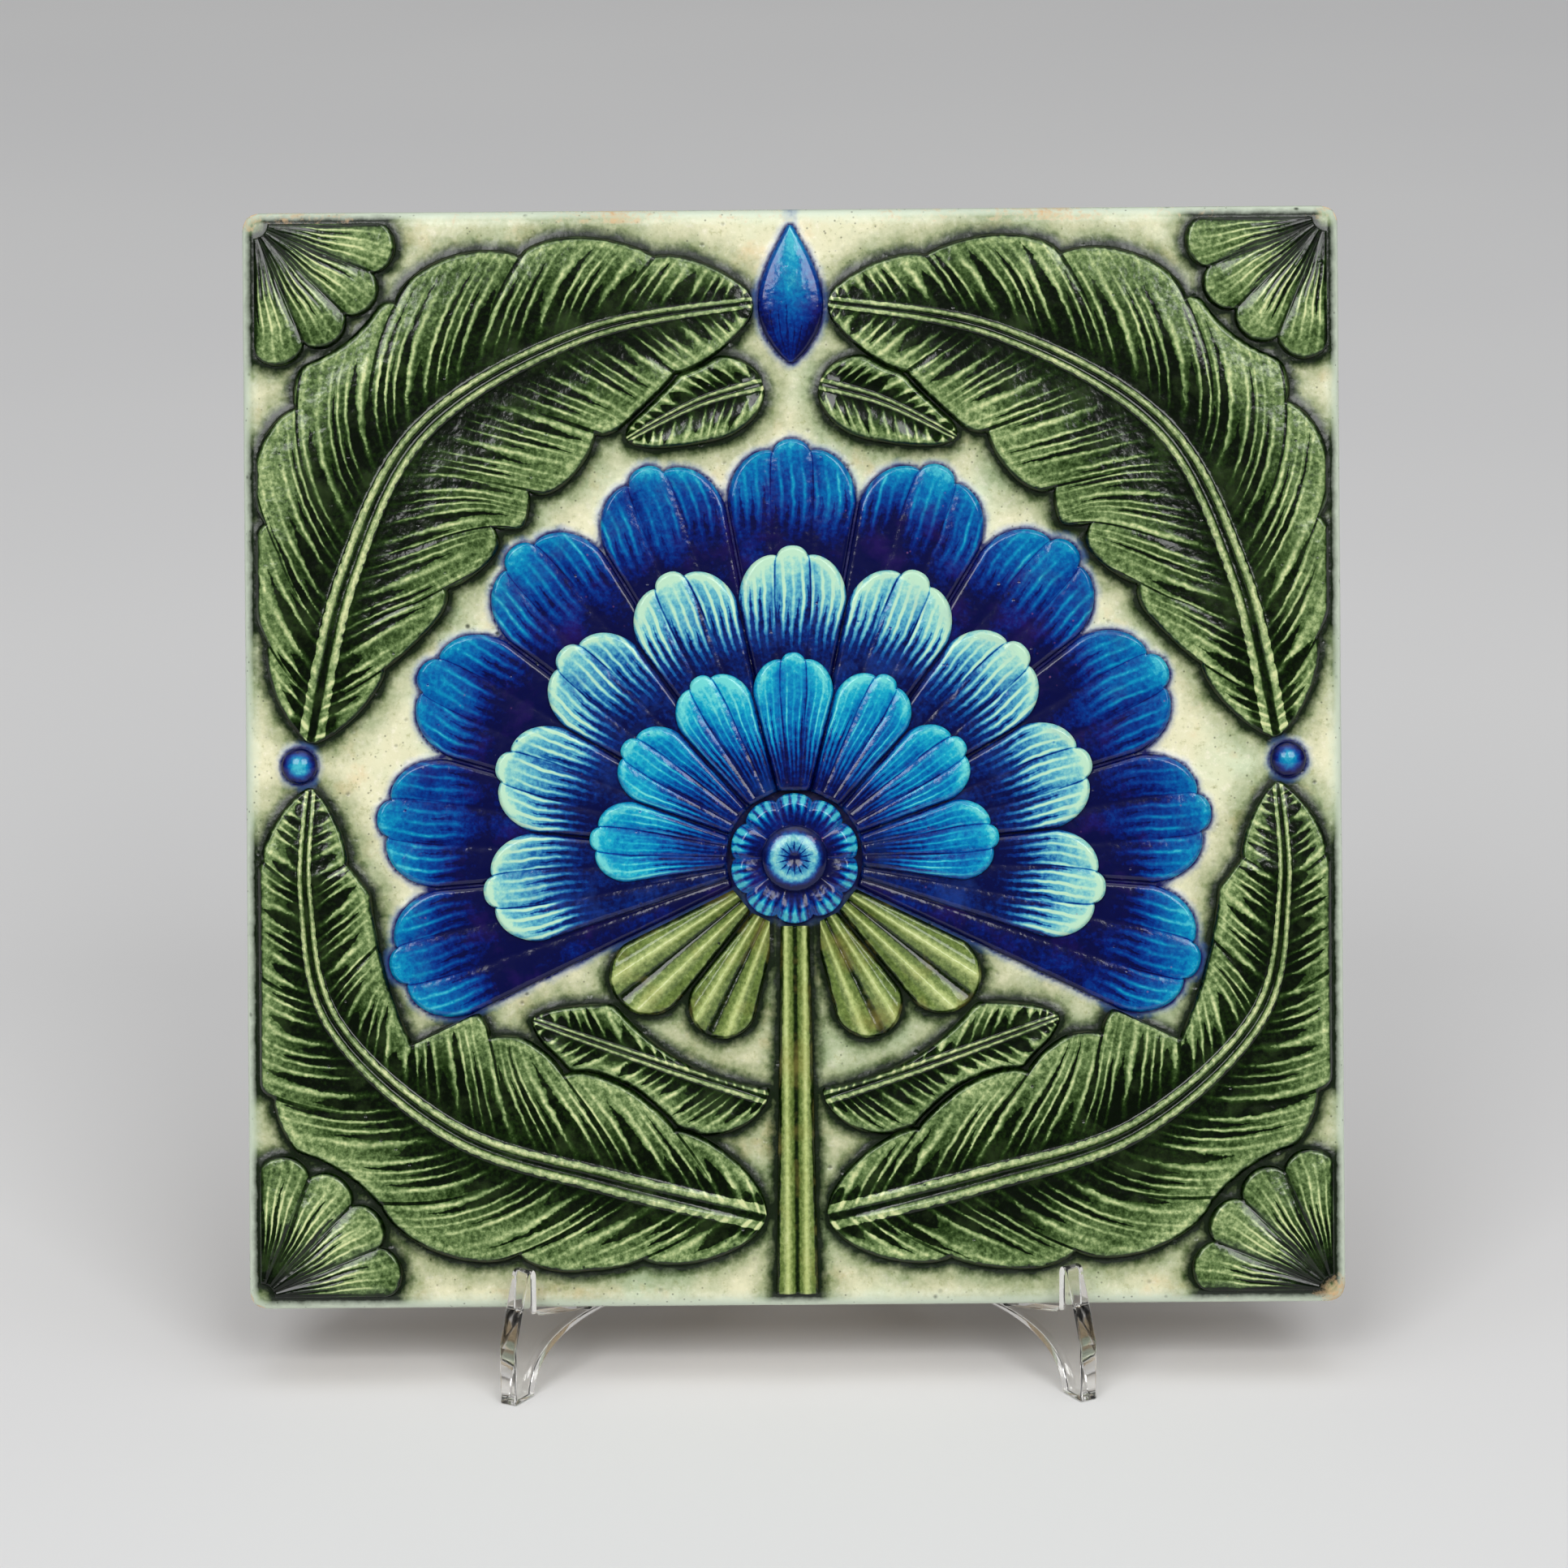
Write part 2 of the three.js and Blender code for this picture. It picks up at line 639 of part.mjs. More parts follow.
const up = new THREE.Vector3(0, 0, 1);
for (const [side, label, levels] of [
  [-1, "left", leftLevels],
  [1, "right", [[middleLow, middleHigh]]],
]) {
  const outward = new THREE.Vector3(side * sideways, -forward, 0);
  const half = new THREE.Group();
  const basis = new THREE.Matrix4().makeBasis(outward, up, outward.clone().cross(up));
  half.quaternion.setFromRotationMatrix(basis);
  half.position.set(0, pinY, 0);
  addMesh(half, `stand_${label}`, makeStandHalf(levels, -side), clearPlastic);
  if (side < 0) addMesh(half, "hinge_pin", makePin(), clearPlastic);
  object.add(half);
}

export default object;
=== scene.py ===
# A glazed relief tile on a clear folding stand.
# The tile's pattern is worked out in millimetres in the tile's own frame: x to the right, y up
# the face from its middle, z out of the face from the tile's back. The stand is worked out in
# millimetres too, and everything is in metres once it is placed.
import math

import bpy
import numpy as np
from mathutils import Matrix, Vector
from mathutils.kdtree import KDTree


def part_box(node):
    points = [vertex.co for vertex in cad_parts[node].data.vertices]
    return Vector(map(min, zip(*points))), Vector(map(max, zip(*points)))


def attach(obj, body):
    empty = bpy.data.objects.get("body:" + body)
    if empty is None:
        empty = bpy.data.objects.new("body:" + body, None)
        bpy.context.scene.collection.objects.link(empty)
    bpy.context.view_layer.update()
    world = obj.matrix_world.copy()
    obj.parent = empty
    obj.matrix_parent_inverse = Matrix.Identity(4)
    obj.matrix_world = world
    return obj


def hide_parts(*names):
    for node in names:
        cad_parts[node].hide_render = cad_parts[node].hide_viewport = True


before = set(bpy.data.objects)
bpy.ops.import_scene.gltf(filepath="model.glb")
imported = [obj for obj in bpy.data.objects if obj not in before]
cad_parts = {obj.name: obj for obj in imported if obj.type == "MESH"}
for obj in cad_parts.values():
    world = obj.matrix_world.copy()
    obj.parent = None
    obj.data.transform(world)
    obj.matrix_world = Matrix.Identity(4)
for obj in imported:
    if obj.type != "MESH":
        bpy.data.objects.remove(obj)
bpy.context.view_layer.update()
print("frame loaded with", len(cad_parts), "nodes")

# The tile's main sizes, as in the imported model.
tile = {
    "size": 152.4,
    "thickness": 8.5,
    "lean": 15,
    "faceMargin": 1.8,
    "groundLevel": 9.25,
    "reliefLevel": 9.4,
    "reliefSeat": 0.25,
    "edgeRoll": (-0.6, 0.6),
    "reliefGap": 0.6,
}
millimetre = 0.001
halfTile = tile["size"] / 2
halfFace = halfTile - tile["faceMargin"]
gap = tile["reliefGap"]
reliefLevel = tile["reliefLevel"]
reliefFoot = tile["groundLevel"] - tile["reliefSeat"]
lean = math.radians(tile["lean"])
rightward = np.array([1.0, 0.0, 0.0])
upFace = np.array([0.0, math.sin(lean), math.cos(lean)])
outOfFace = np.array([0.0, -math.cos(lean), math.sin(lean)])
slabLow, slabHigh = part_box("tile_body")
slabMiddle = np.array((slabLow + slabHigh) / 2)


def toWorld(points):
    local = np.asarray(points, float) * millimetre
    depth = local[:, 2:3] - tile["thickness"] * millimetre / 2
    return slabMiddle + local[:, 0:1] * rightward + local[:, 1:2] * upFace + depth * outOfFace


def limited(x):
    return np.clip(x, 0, 1)


def softStep(low, high, x):
    t = limited((x - low) / (high - low))
    return t * t * (3 - 2 * t)


def hump(x, width):
    return np.exp(-((x / width) ** 2))


def dome(x):
    return np.sqrt(limited(1 - x**2))


def between(a, b, share):
    return a + (b - a) * share


def highest(*values):
    return np.maximum.reduce(np.broadcast_arrays(*values))


def scatter(index, seed):
    # A steady spread of values from 0 to 1, one for each whole number.
    return np.mod(index * 0.618034 + seed * 0.37 + 0.5 * np.sin(index * 1.7 + seed), 1)


def sway(along, seed):
    # A smooth uneven run of values from about -1 to 1 along an edge.
    return (np.sin(along * 0.11 + seed) + 0.7 * np.sin(along * 0.31 + 2.3 * seed)
            + 0.45 * np.sin(along * 0.83 + 0.7 * seed)) / 2.15


# Finishes

def paint(red, green, blue):
    # A colour on a 0 to 255 scale, as the linear values that shaders take.
    def linear(value):
        share = value / 255
        return share / 12.92 if share <= 0.04045 else ((share + 0.055) / 1.055) ** 2.4

    return (linear(red), linear(green), linear(blue), 1.0)


def tones(*stops):
    # The stops of a ramp, each from its place and its colour.
    return [(place, paint(*colour)) for place, *colour in stops]


class Level:
    # A number that varies over a surface. Arithmetic on it adds Math nodes.
    def __init__(self, finish, socket):
        self.finish = finish
        self.socket = socket

    def maths(self, operation, *values, clamp=False):
        settings = {"operation": operation, "use_clamp": clamp}
        made = self.finish.node("ShaderNodeMath", settings, dict(enumerate(values)))
        return Level(self.finish, made.outputs[0])

    def __add__(self, other):
        return self.maths("ADD", self, other)

    def __radd__(self, other):
        return self.maths("ADD", other, self)

    def __sub__(self, other):
        return self.maths("SUBTRACT", self, other)

    def __rsub__(self, other):
        return self.maths("SUBTRACT", other, self)

    def __mul__(self, other):
        return self.maths("MULTIPLY", self, other)

    def __rmul__(self, other):
        return self.maths("MULTIPLY", other, self)

    def __truediv__(self, other):
        return self.maths("DIVIDE", self, other)

    def __pow__(self, other):
        return self.maths("POWER", self, other)

    def __abs__(self):
        return self.maths("ABSOLUTE", self)

    def fraction(self):
        return self.maths("FRACT", self)

    def most(self, other):
        return self.maths("MAXIMUM", self, other)

    def limited(self):
        return self.maths("ADD", self, 0.0, clamp=True)


class Finish:
    # The nodes of one material, or of the world.
    def __init__(self, holder):
        self.holder = holder
        holder.use_nodes = True
        self.tree = holder.node_tree
        self.tree.nodes.clear()
        self.place = self.node("ShaderNodeTexCoord").outputs["Object"]

    def node(self, kind, settings=None, sockets=None):
        made = self.tree.nodes.new(kind)
        for key, value in (settings or {}).items():
            if key == "stops":
                self.setStops(made.color_ramp, value)
            else:
                setattr(made, key, value)
        for key, value in (sockets or {}).items():
            value = value.socket if isinstance(value, Level) else value
            if isinstance(value, bpy.types.NodeSocket):
                self.tree.links.new(value, made.inputs[key])
            else:
                made.inputs[key].default_value = value
        return made

    def setStops(self, ramp, stops):
        while len(ramp.elements) < len(stops):
            ramp.elements.new(1.0)
        for element, (place, colour) in zip(ramp.elements, stops):
            element.position = place
            element.color = colour

    def attribute(self, name):
        return Level(self, self.node("ShaderNodeAttribute", {"attribute_name": name}).outputs["Fac"])

    def noise(self, scale, detail=2.0, roughness=0.5):
        sockets = {"Vector": self.place, "Scale": scale, "Detail": detail, "Roughness": roughness}
        return Level(self, self.node("ShaderNodeTexNoise", None, sockets).outputs[0])

    def patches(self, scale, contrast, cut, detail=2.0, roughness=0.5):
        # A mask of uneven patches: sharper with more contrast, and fewer with a higher cut.
        return (self.noise(scale, detail, roughness) * contrast - cut).limited()

    def spots(self, scale, sharpness, size, patches):
        # A mask of round spots that keep to the patches.
        sockets = {"Vector": self.place, "Scale": scale}
        cells = Level(self, self.node("ShaderNodeTexVoronoi", None, sockets).outputs["Distance"])
        return (cells * -sharpness + size).limited() * patches

    def ramp(self, level, stops):
        return self.node("ShaderNodeValToRGB", {"stops": stops}, {"Fac": level}).outputs["Color"]

    def mix(self, factor, first, second):
        sockets = {0: factor, 6: first, 7: second}
        return self.node("ShaderNodeMix", {"data_type": "RGBA"}, sockets).outputs[2]

    def covered(self, colour, look, *layers):
        # Lays the look's colours over the first one in turn, each where its mask is.
        for mask, name in layers:
            colour = self.mix(mask, colour, look[name])
        return colour

    def bump(self, height, distance):
        return self.node("ShaderNodeBump", None, {"Height": height, "Distance": distance}).outputs["Normal"]

    def surface(self, sockets):
        shader = self.node("ShaderNodeBsdfPrincipled", None, sockets)
        self.node("ShaderNodeOutputMaterial", None, {"Surface": shader.outputs[0]})
        return self.holder


# How each coloured glaze runs from thin on the ridges to deep in the hollows.
glazes = {
    "leaf": {
        "stops": tones((0, 206, 212, 156), (0.18, 154, 172, 118), (0.36, 100, 123, 74),
                       (0.54, 54, 75, 36), (0.72, 22, 42, 8), (1, 2, 10, 0)),
        "strokeDepth": 1.0, "strokeEdge": 3.0, "edgeDepth": 1.0, "ridgeLift": 0.34, "crestLift": 0.46,
        "mottle": 0.95, "cloud": 0.55, "specks": 0.6, "tinges": 0.3,
        "speck": paint(12, 18, 10), "tinge": paint(66, 88, 46),
    },
    "stem": {
        "stops": tones((0, 214, 220, 164), (0.3, 172, 186, 116), (0.55, 104, 124, 62),
                       (0.8, 32, 50, 14), (1, 8, 20, 2)),
        "strokeDepth": 0.85, "strokeEdge": 1.7, "edgeDepth": 1.0, "ridgeLift": 0.34, "crestLift": 0.3,
        "mottle": 0.6, "cloud": 0.25, "specks": 0.5, "tinges": 0.4,
        "speck": paint(20, 26, 12), "tinge": paint(150, 140, 72),
    },
    "cobalt": {
        "stops": tones((0, 70, 180, 196), (0.2, 8, 136, 176), (0.42, 2, 92, 156),
                       (0.64, 2, 52, 130), (0.84, 2, 22, 98), (1, 4, 8, 60)),
        "strokeDepth": 0.92, "strokeEdge": 1.5, "edgeDepth": 0.6, "ridgeLift": 0.24, "crestLift": 0.36,
        "mottle": 0.7, "cloud": 0.95, "specks": 0.6, "tinges": 0.4,
        "speck": paint(140, 88, 134), "tinge": paint(44, 20, 96),
    },
    "paleBlue": {
        "stops": tones((0, 178, 216, 188), (0.18, 138, 199, 190), (0.36, 82, 162, 184),
                       (0.56, 22, 92, 152), (0.78, 4, 36, 110), (1, 4, 10, 62)),
        "strokeDepth": 0.95, "strokeEdge": 1.6, "edgeDepth": 0.35, "ridgeLift": 0.34, "crestLift": 0.62,
        "mottle": 0.65, "cloud": 0.55, "specks": 0.5, "tinges": 0.35,
        "speck": paint(124, 82, 130), "tinge": paint(36, 70, 150),
    },
    "turquoise": {
        "stops": tones((0, 104, 202, 200), (0.2, 24, 162, 188), (0.42, 2, 114, 170),
                       (0.64, 2, 62, 138), (0.84, 2, 24, 100), (1, 4, 8, 60)),
        "strokeDepth": 0.95, "strokeEdge": 1.6, "edgeDepth": 0.5, "ridgeLift": 0.3, "crestLift": 0.36,
        "mottle": 0.65, "cloud": 0.8, "specks": 0.5, "tinges": 0.4,
        "speck": paint(132, 84, 132), "tinge": paint(10, 70, 150),
    },
}

# What the coloured glazes share. A higher scale gives a finer pattern.
glazeGrain = {
    "wobbleScale": 600,
    "mottleScale": 1500,
    "cloudScale": 110,
    "pitScale": 420,
    "tingeScale": 190,
    "speckScale": 640,
    "swellScale": 380,
    "swellHeight": 0.00009,
    "roughness": 0.06,
    "roughnessSpread": 0.1,
    "index": 1.5,
    "reflection": 0.36,
}


def glazeFinish(name, look):
    finish = Finish(bpy.data.materials.new(name))
    reach = finish.attribute("strokeReach")
    wobble = finish.noise(glazeGrain["wobbleScale"]) - 0.5
    mottle = finish.noise(glazeGrain["mottleScale"], 3.0, 0.65) - 0.5
    cloud = finish.noise(glazeGrain["cloudScale"]) - 0.5
    gapAway = abs((finish.attribute("strokePhase") + wobble * 0.35).fraction() * 2 - 1)
    stroke = ((reach + mottle * 0.35 - gapAway) * look["strokeEdge"]).limited()
    stroke = stroke * (reach * 1.4 + 0.45).limited() * look["strokeDepth"]
    crest = ((gapAway - 0.55 + mottle * 0.3) * 2.8).limited() * finish.attribute("crestReach")
    lineAway = abs((finish.attribute("linePhase") + 0.5).fraction() - 0.5)
    line = (finish.attribute("lineForce") - lineAway * finish.attribute("lineSharp")).limited()
    edgeLine = (1.4 - (finish.attribute("edgeAway") + wobble * 0.5) / 0.6).limited()
    pooled = finish.attribute("glazeDepth").most(stroke).most(line * 0.96)
    pooled = pooled.most(edgeLine * look["edgeDepth"])
    pits = finish.spots(glazeGrain["pitScale"], 14, 1.5, finish.patches(160, 8, 4.2))
    level = pooled + mottle * look["mottle"] + cloud * look["cloud"] + pits * 0.45
    level = level - finish.attribute("ridge") * look["ridgeLift"] - crest * look["crestLift"]
    tinges = finish.patches(glazeGrain["tingeScale"], 5, 2.6, 4.0, 0.6) * (pooled * 1.6).limited()
    specks = finish.spots(glazeGrain["speckScale"], 12, 1.5, finish.patches(130, 8, 4.4))
    swell = finish.noise(glazeGrain["swellScale"]) + finish.noise(2200, 1.0) * 0.12 - pits * 0.6
    return finish.surface({
        "Base Color": finish.covered(finish.ramp(level.limited(), look["stops"]), look,
                                     (tinges * look["tinges"], "tinge"), (specks * look["specks"], "speck")),
        "Roughness": glazeGrain["roughness"] + finish.noise(900) * glazeGrain["roughnessSpread"],
        "IOR": glazeGrain["index"],
        "Specular IOR Level": glazeGrain["reflection"],
        "Normal": finish.bump(swell, glazeGrain["swellHeight"]),
    })


# The cream ground glaze, with what the coloured glazes have bled into it, and a pale tone on its rolled edge
# that is partly thin glaze and partly a painted highlight of the edge catching light.
groundLook = {
    "cream": paint(220, 217, 182),
    "mint": paint(198, 212, 180),
    "buff": paint(220, 190, 142),
    "pale": paint(240, 234, 214),
    "olive": paint(156, 158, 104),
    # edge: pale tone where the glaze runs thin over the rolled edge, and also a painted highlight of that
    # edge catching light.
    "edge": paint(208, 220, 200),
    "green": paint(78, 108, 42),
    "deepGreen": paint(10, 26, 2),
    "blue": paint(64, 104, 172),
    "deepBlue": paint(14, 16, 84),
    "bare": paint(206, 172, 128),
    "grainScale": 1300,
    "raggedScale": 450,
    "mottleScale": 1000,
    "fleckScale": 380,
    "swellScale": 300,
    "swellHeight": 0.00012,
    "roughness": 0.16,
    "index": 1.5,
    "reflection": 0.4,
}


def groundFinish(name):
    finish = Finish(bpy.data.materials.new(name))
    green = finish.attribute("greenAway")
    blue = finish.attribute("blueAway")
    border = finish.attribute("borderAway")
    grain = finish.noise(groundLook["grainScale"], 3.0, 0.6) - 0.5
    ragged = finish.noise(groundLook["raggedScale"], 3.0, 0.7) - 0.5
    mottle = finish.noise(groundLook["mottleScale"], 3.0, 0.7) * 7
    flecks = finish.spots(groundLook["fleckScale"], 9, 1.5, finish.patches(200, 7, 3.5))
    fine = finish.spots(900, 9, 1.6, finish.patches(90, 8, 3.3))
    bare = (finish.attribute("bare") * 2 + grain * 2.4 - 0.8).limited()
    swell = finish.noise(groundLook["swellScale"]) + finish.noise(1900, 1.0) * 0.15 - flecks * 0.8
    return finish.surface({
        "Base Color": finish.covered(
            groundLook["cream"], groundLook,
            (finish.patches(70, 3.4, 1.6, 3.0, 0.6), "mint"),
            (finish.patches(120, 6, 3.4, 4.0, 0.6) * 0.75, "buff"),
            ((mottle - 3.9).limited() * 0.5, "pale"),
            ((3.0 - mottle).limited() * 0.5, "olive"),
            # The rolled edge and the face's rim turn pale: thin glaze there, and a painted highlight of the
            # edge catching light.
            ((1 - border / 2.4 + grain * 0.6).limited(), "edge"),
            ((1 - (green + ragged * 4 + grain * 1.8) / 5.4).limited() ** 1.35, "green"),
            ((1.4 - (green + ragged * 1.6) / 1.25).limited(), "deepGreen"),
            # A paler line right on the edge: the same painted highlight, over thin glaze.
            ((1.35 - (border + ragged * 0.8) / 0.95).limited() * 0.94, "edge"),
            ((1 - (blue + ragged * 1.4) / 1.3).limited() ** 1.5 * 0.8, "blue"),
            ((1.35 - (blue + ragged * 0.4) / 0.42).limited(), "deepBlue"),
            (flecks.most(fine * 0.7) * 0.85, "deepGreen"),
            (bare, "bare"),
        ),
        "Roughness": groundLook["roughness"] + finish.noise(800) * 0.12 + bare * 0.5,
        "IOR": groundLook["index"],
        "Specular IOR Level": groundLook["reflection"],
        "Normal": finish.bump(swell, groundLook["swellHeight"]),
    })


# The fired clay, a little dusty, with pores and smears.
clayLook = {
    "stops": tones((0.3, 200, 174, 136), (0.5, 216, 194, 158), (0.7, 228, 211, 180)),
    "pore": paint(128, 98, 66),
    "smear": paint(176, 160, 136),
    "stain": paint(150, 122, 88),
    "cloudScale": 60,
    "grainScale": 1600,
    "grainHeight": 0.0003,
    "roughness": 0.78,
}


def biscuitFinish(name):
    finish = Finish(bpy.data.materials.new(name))
    cloud = finish.noise(clayLook["cloudScale"], 4.0, 0.6)
    grain = finish.noise(clayLook["grainScale"], 4.0, 0.7)
    pores = finish.spots(420, 10, 1.5, finish.patches(170, 8, 4.2))
    fine = finish.spots(900, 10, 1.4, finish.patches(300, 8, 4.2))
    return finish.surface({
        "Base Color": finish.covered(
            finish.ramp(cloud * 0.55 + grain * 0.45, clayLook["stops"]), clayLook,
            (finish.patches(25, 5, 2.6, 5.0, 0.7) * 0.6, "smear"),
            (finish.patches(34, 7, 4.1, 6.0, 0.75) * 0.5, "stain"),
            (pores.most(fine * 0.8) * 0.75, "pore"),
        ),
        "Roughness": clayLook["roughness"] + grain * 0.15,
        "Normal": finish.bump(grain * 0.8 + cloud - pores, clayLook["grainHeight"]),
    })


# The clear plastic, hardly scuffed.
plasticLook = {
    "colour": paint(247, 246, 243),
    "index": 1.49,
    "roughness": 0.04,
    "scuffScale": 700,
    "scuffs": 0.2,
    "waveScale": 260,
    "waveHeight": 0.00002,
}


def clearFinish(name):
    finish = Finish(bpy.data.materials.new(name))
    scuffs = finish.patches(plasticLook["scuffScale"], 0.5, 0.15, 4.0, 0.7) * plasticLook["scuffs"]
    return finish.surface({
        "Base Color": plasticLook["colour"],
        "Roughness": scuffs + plasticLook["roughness"],
        "IOR": plasticLook["index"],
        "Transmission Weight": 1.0,
        "Normal": finish.bump(finish.noise(plasticLook["waveScale"]), plasticLook["waveHeight"]),
    })


finishes = {
    "leaf_glaze": glazeFinish("leafGlaze", glazes["leaf"]),
    "stem_glaze": glazeFinish("stemGlaze", glazes["stem"]),
    "cobalt_glaze": glazeFinish("cobaltGlaze", glazes["cobalt"]),
    "pale_blue_glaze": glazeFinish("paleBlueGlaze", glazes["paleBlue"]),
    "turquoise_glaze": glazeFinish("turquoiseGlaze", glazes["turquoise"]),
    "ground_glaze": groundFinish("creamGlaze"),
    "biscuit": biscuitFinish("biscuitClay"),
    "clear_plastic": clearFinish("clearPlastic"),
}
print("finishes made:", len(finishes))

# The pieces' outlines on the face, by glaze family, for the bleeding into the ground.
outlines = {"green": [], "blue": []}


def addObject(name, data):
    made = bpy.data.objects.new(name, data)
    bpy.context.scene.collection.objects.link(made)
    return made


def addMesh(name, points, faces):
    mesh = bpy.data.meshes.new(name)
    mesh.from_pydata(np.asarray(points).tolist(), [], faces)
    return addObject(name, mesh)


def addPiece(name, points, faces, fields, slot, body, replaced):
    # Makes a closed piece from points in the shared frame, with its fields as point attributes.
    piece = addMesh(name, points, faces)
    for key, values in fields.items():
        layer = piece.data.attributes.new(key, "FLOAT", "POINT")
        layer.data.foreach_set("value", np.asarray(values, np.float32))
    piece.data.shade_smooth()
    piece.data.materials.append(finishes[slot])
    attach(piece, body)
    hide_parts(replaced)
    return piece


def gridFaces(rows, columns):
    # The faces of a grid of points, and the points round its rim.
    index = np.arange(rows * columns).reshape(rows, columns)
    corners = [index[:-1, :-1], index[:-1, 1:], index[1:, 1:], index[1:, :-1]]
    rim = np.concatenate([index[0, :-1], index[:-1, -1], index[-1, :0:-1], index[:0:-1, 0]])
    return np.stack(corners, -1).reshape(-1, 4), rim


def ringWalls(first, second):
    # Joins two rings of as many points. The second is further down or further round.
    return np.stack([second, np.roll(second, -1), np.roll(first, -1), first], -1).tolist()


def closeDown(top, quads, rim, fields, rings):
    # Adds walls from the rim through further rings of points, and a flat end on the last one.
    points = [top]
    faces = quads.tolist()
    values = {key: [value] for key, value in fields.items()}
    above = rim
    start = len(top)
    for ring in rings:
        below = start + np.arange(len(rim))
        faces += ringWalls(above, below)
        points.append(ring["points"])
        for key in values:
            values[key].append(ring.get(key, fields[key][rim]))
        above = below
        start += len(rim)
    faces.append(above[::-1].tolist())
    return np.concatenate(points), faces, {key: np.concatenate(parts) for key, parts in values.items()}


def addRelief(node, points, quads, rim, fields, slot, family, foot, fan=()):
    # Closes a raised piece down to its foot and keeps its outline.
    ring = points[rim]
    ring[:, 2] = foot
    outlines[family].append(ring[:, :2])
    points, faces, closed = closeDown(points, quads, rim, fields, [{"points": ring}])
    addPiece(node + "_glazed", toWorld(points), list(fan) + faces, closed, slot, "tile", node)


def fillFields(fields, shape):
    # Fields that a piece doesn't set: no strokes, no lines, no ridge, and far from its edge.
    plain = {"glazeDepth": 0.3, "strokePhase": 0, "strokeReach": 0, "crestReach": 0, "ridge": 0,
             "edgeAway": 3, "linePhase": 0.5, "lineForce": 0, "lineSharp": 1}
    return {key: np.broadcast_to(fields.get(key, value), shape) for key, value in plain.items()}


def patchPiece(node, x, y, z, fields, slot, family, foot=reliefFoot, mirrored=False):
    # A raised patch over a grid of rows along it and columns across it.
    x, y, z = np.broadcast_arrays(x, y, z)
    fields = fillFields(fields, x.shape)
    if mirrored:
        x, y, z = -x[:, ::-1], y[:, ::-1], z[:, ::-1]
        fields = {key: values[:, ::-1] for key, values in fields.items()}
    top = np.stack([x, y, z], -1).reshape(-1, 3)
    flat = {key: values.reshape(-1) for key, values in fields.items()}
    addRelief(node, top, *gridFaces(*x.shape), flat, slot, family, foot)


def discPiece(node, middle, outline, top, shade, slot, rings, segments, foot=reliefFoot):
    # A round piece. outline gives its radius at an angle, top its height and shade its fields.
    angle = np.arange(segments) * 2 * math.pi / segments
    turn, rise = np.meshgrid(angle, np.linspace(0, 1, rings + 1)[1:])
    radius = rise * outline(turn)
    x = np.concatenate([[middle[0]], (middle[0] + radius * np.cos(turn)).ravel()])
    y = np.concatenate([[middle[1]], (middle[1] + radius * np.sin(turn)).ravel()])
    turn = np.concatenate([[0.0], turn.ravel()])
    rise = np.concatenate([[0.0], rise.ravel()])
    index = 1 + np.arange(rings * segments).reshape(rings, segments)
    after = np.roll(index, -1, axis=1)
    quads = np.stack([index[:-1], index[1:], after[1:], after[:-1]], -1).reshape(-1, 4)
    fan = np.stack([np.zeros(segments, int), index[0], after[0]], -1).tolist()
    points = np.stack([x, y, top(turn, rise)], -1)
    fields = fillFields(shade(turn, rise), turn.shape)
    addRelief(node, points, quads, index[-1], fields, slot, "blue", foot, fan)


def raised(height, edge, roll=tile["edgeRoll"], level=reliefLevel):
    # The level of a raised surface that rolls down at its edge.
    return level + height * softStep(*roll, edge)


def strokeDark(phase, reach):
    # How dark the carved strokes are, much as the glaze finish shows them.
    return limited((reach - np.abs(np.mod(phase, 1) * 2 - 1)) * 1.7)


# Room on the face that one piece leaves to another. Each room is a test of x and y.

def roundRoom(middle, radius, fromTurn=0, toTurn=180):
    # A turn is counted to both sides of straight up, in degrees.
    def holds(x, y):
        turn = np.degrees(np.arctan2(np.abs(x - middle[0]), y - middle[1]))
        near = np.hypot(x - middle[0], y - middle[1]) < radius
        return near & (turn >= fromTurn) & (turn <= toTurn)

    return holds


def stripRoom(halfWidth, low, high):
    return lambda x, y: (np.abs(x) < halfWidth) & (y > low) & (y < high)


def shapeRoom(outline):
    # The inside of a closed outline, by counting the edges to the right of each point.
    def holds(x, y):
        inside = np.zeros(x.shape, bool)
        for (ax, ay), (bx, by) in zip(outline, np.roll(outline, -1, axis=0)):
            if ay != by:
                crosses = (ay > y) != (by > y)
                inside ^= crosses & (x < (bx - ax) * (y - ay) / (by - ay) + ax)
        return inside

    return holds


# The fan blossom, in three tiers of petals. Turns are in degrees from straight up.
blossom = {
    "radius": 58.2,
    "drop": 14,
    "root": 9.4,
    "petalGap": 0.3,
    "tierRise": 0.95,
    "tierSeat": 0.35,
    "thickness": 0.8,
    "lobes": 3,
    "lobeNotch": 0.17,
    "notchAt": 19.5,
    "notchEnd": 60,
    "strokes": 5.5,
    "edgeRoll": (-0.45, 0.6),
    "acrossStep": 0.26,
    "alongStep": 0.6,
    "capEnd": 84,
}
focus = np.array([0.0, -blossom["drop"]])
tiers = [
    {"node": "petal_outer", "count": 11, "spread": 105, "reach": 1.0, "slot": "cobalt_glaze",
     "root": 1.0, "tip": 0.2, "rim": 0.35},
    {"node": "petal_middle", "count": 9, "spread": 96, "reach": 0.745, "slot": "pale_blue_glaze",
     "root": 0.9, "tip": 0.04, "rim": 0.9},
    {"node": "petal_inner", "count": 7, "spread": 84, "reach": 0.49, "slot": "turquoise_glaze",
     "root": 0.95, "tip": 0.12, "rim": 0.6},
]
lineWidth = 0.36
outerPitch = 2 * tiers[0]["spread"] / (tiers[0]["count"] - 1)
fanEdge = tiers[0]["spread"] + outerPitch / 2


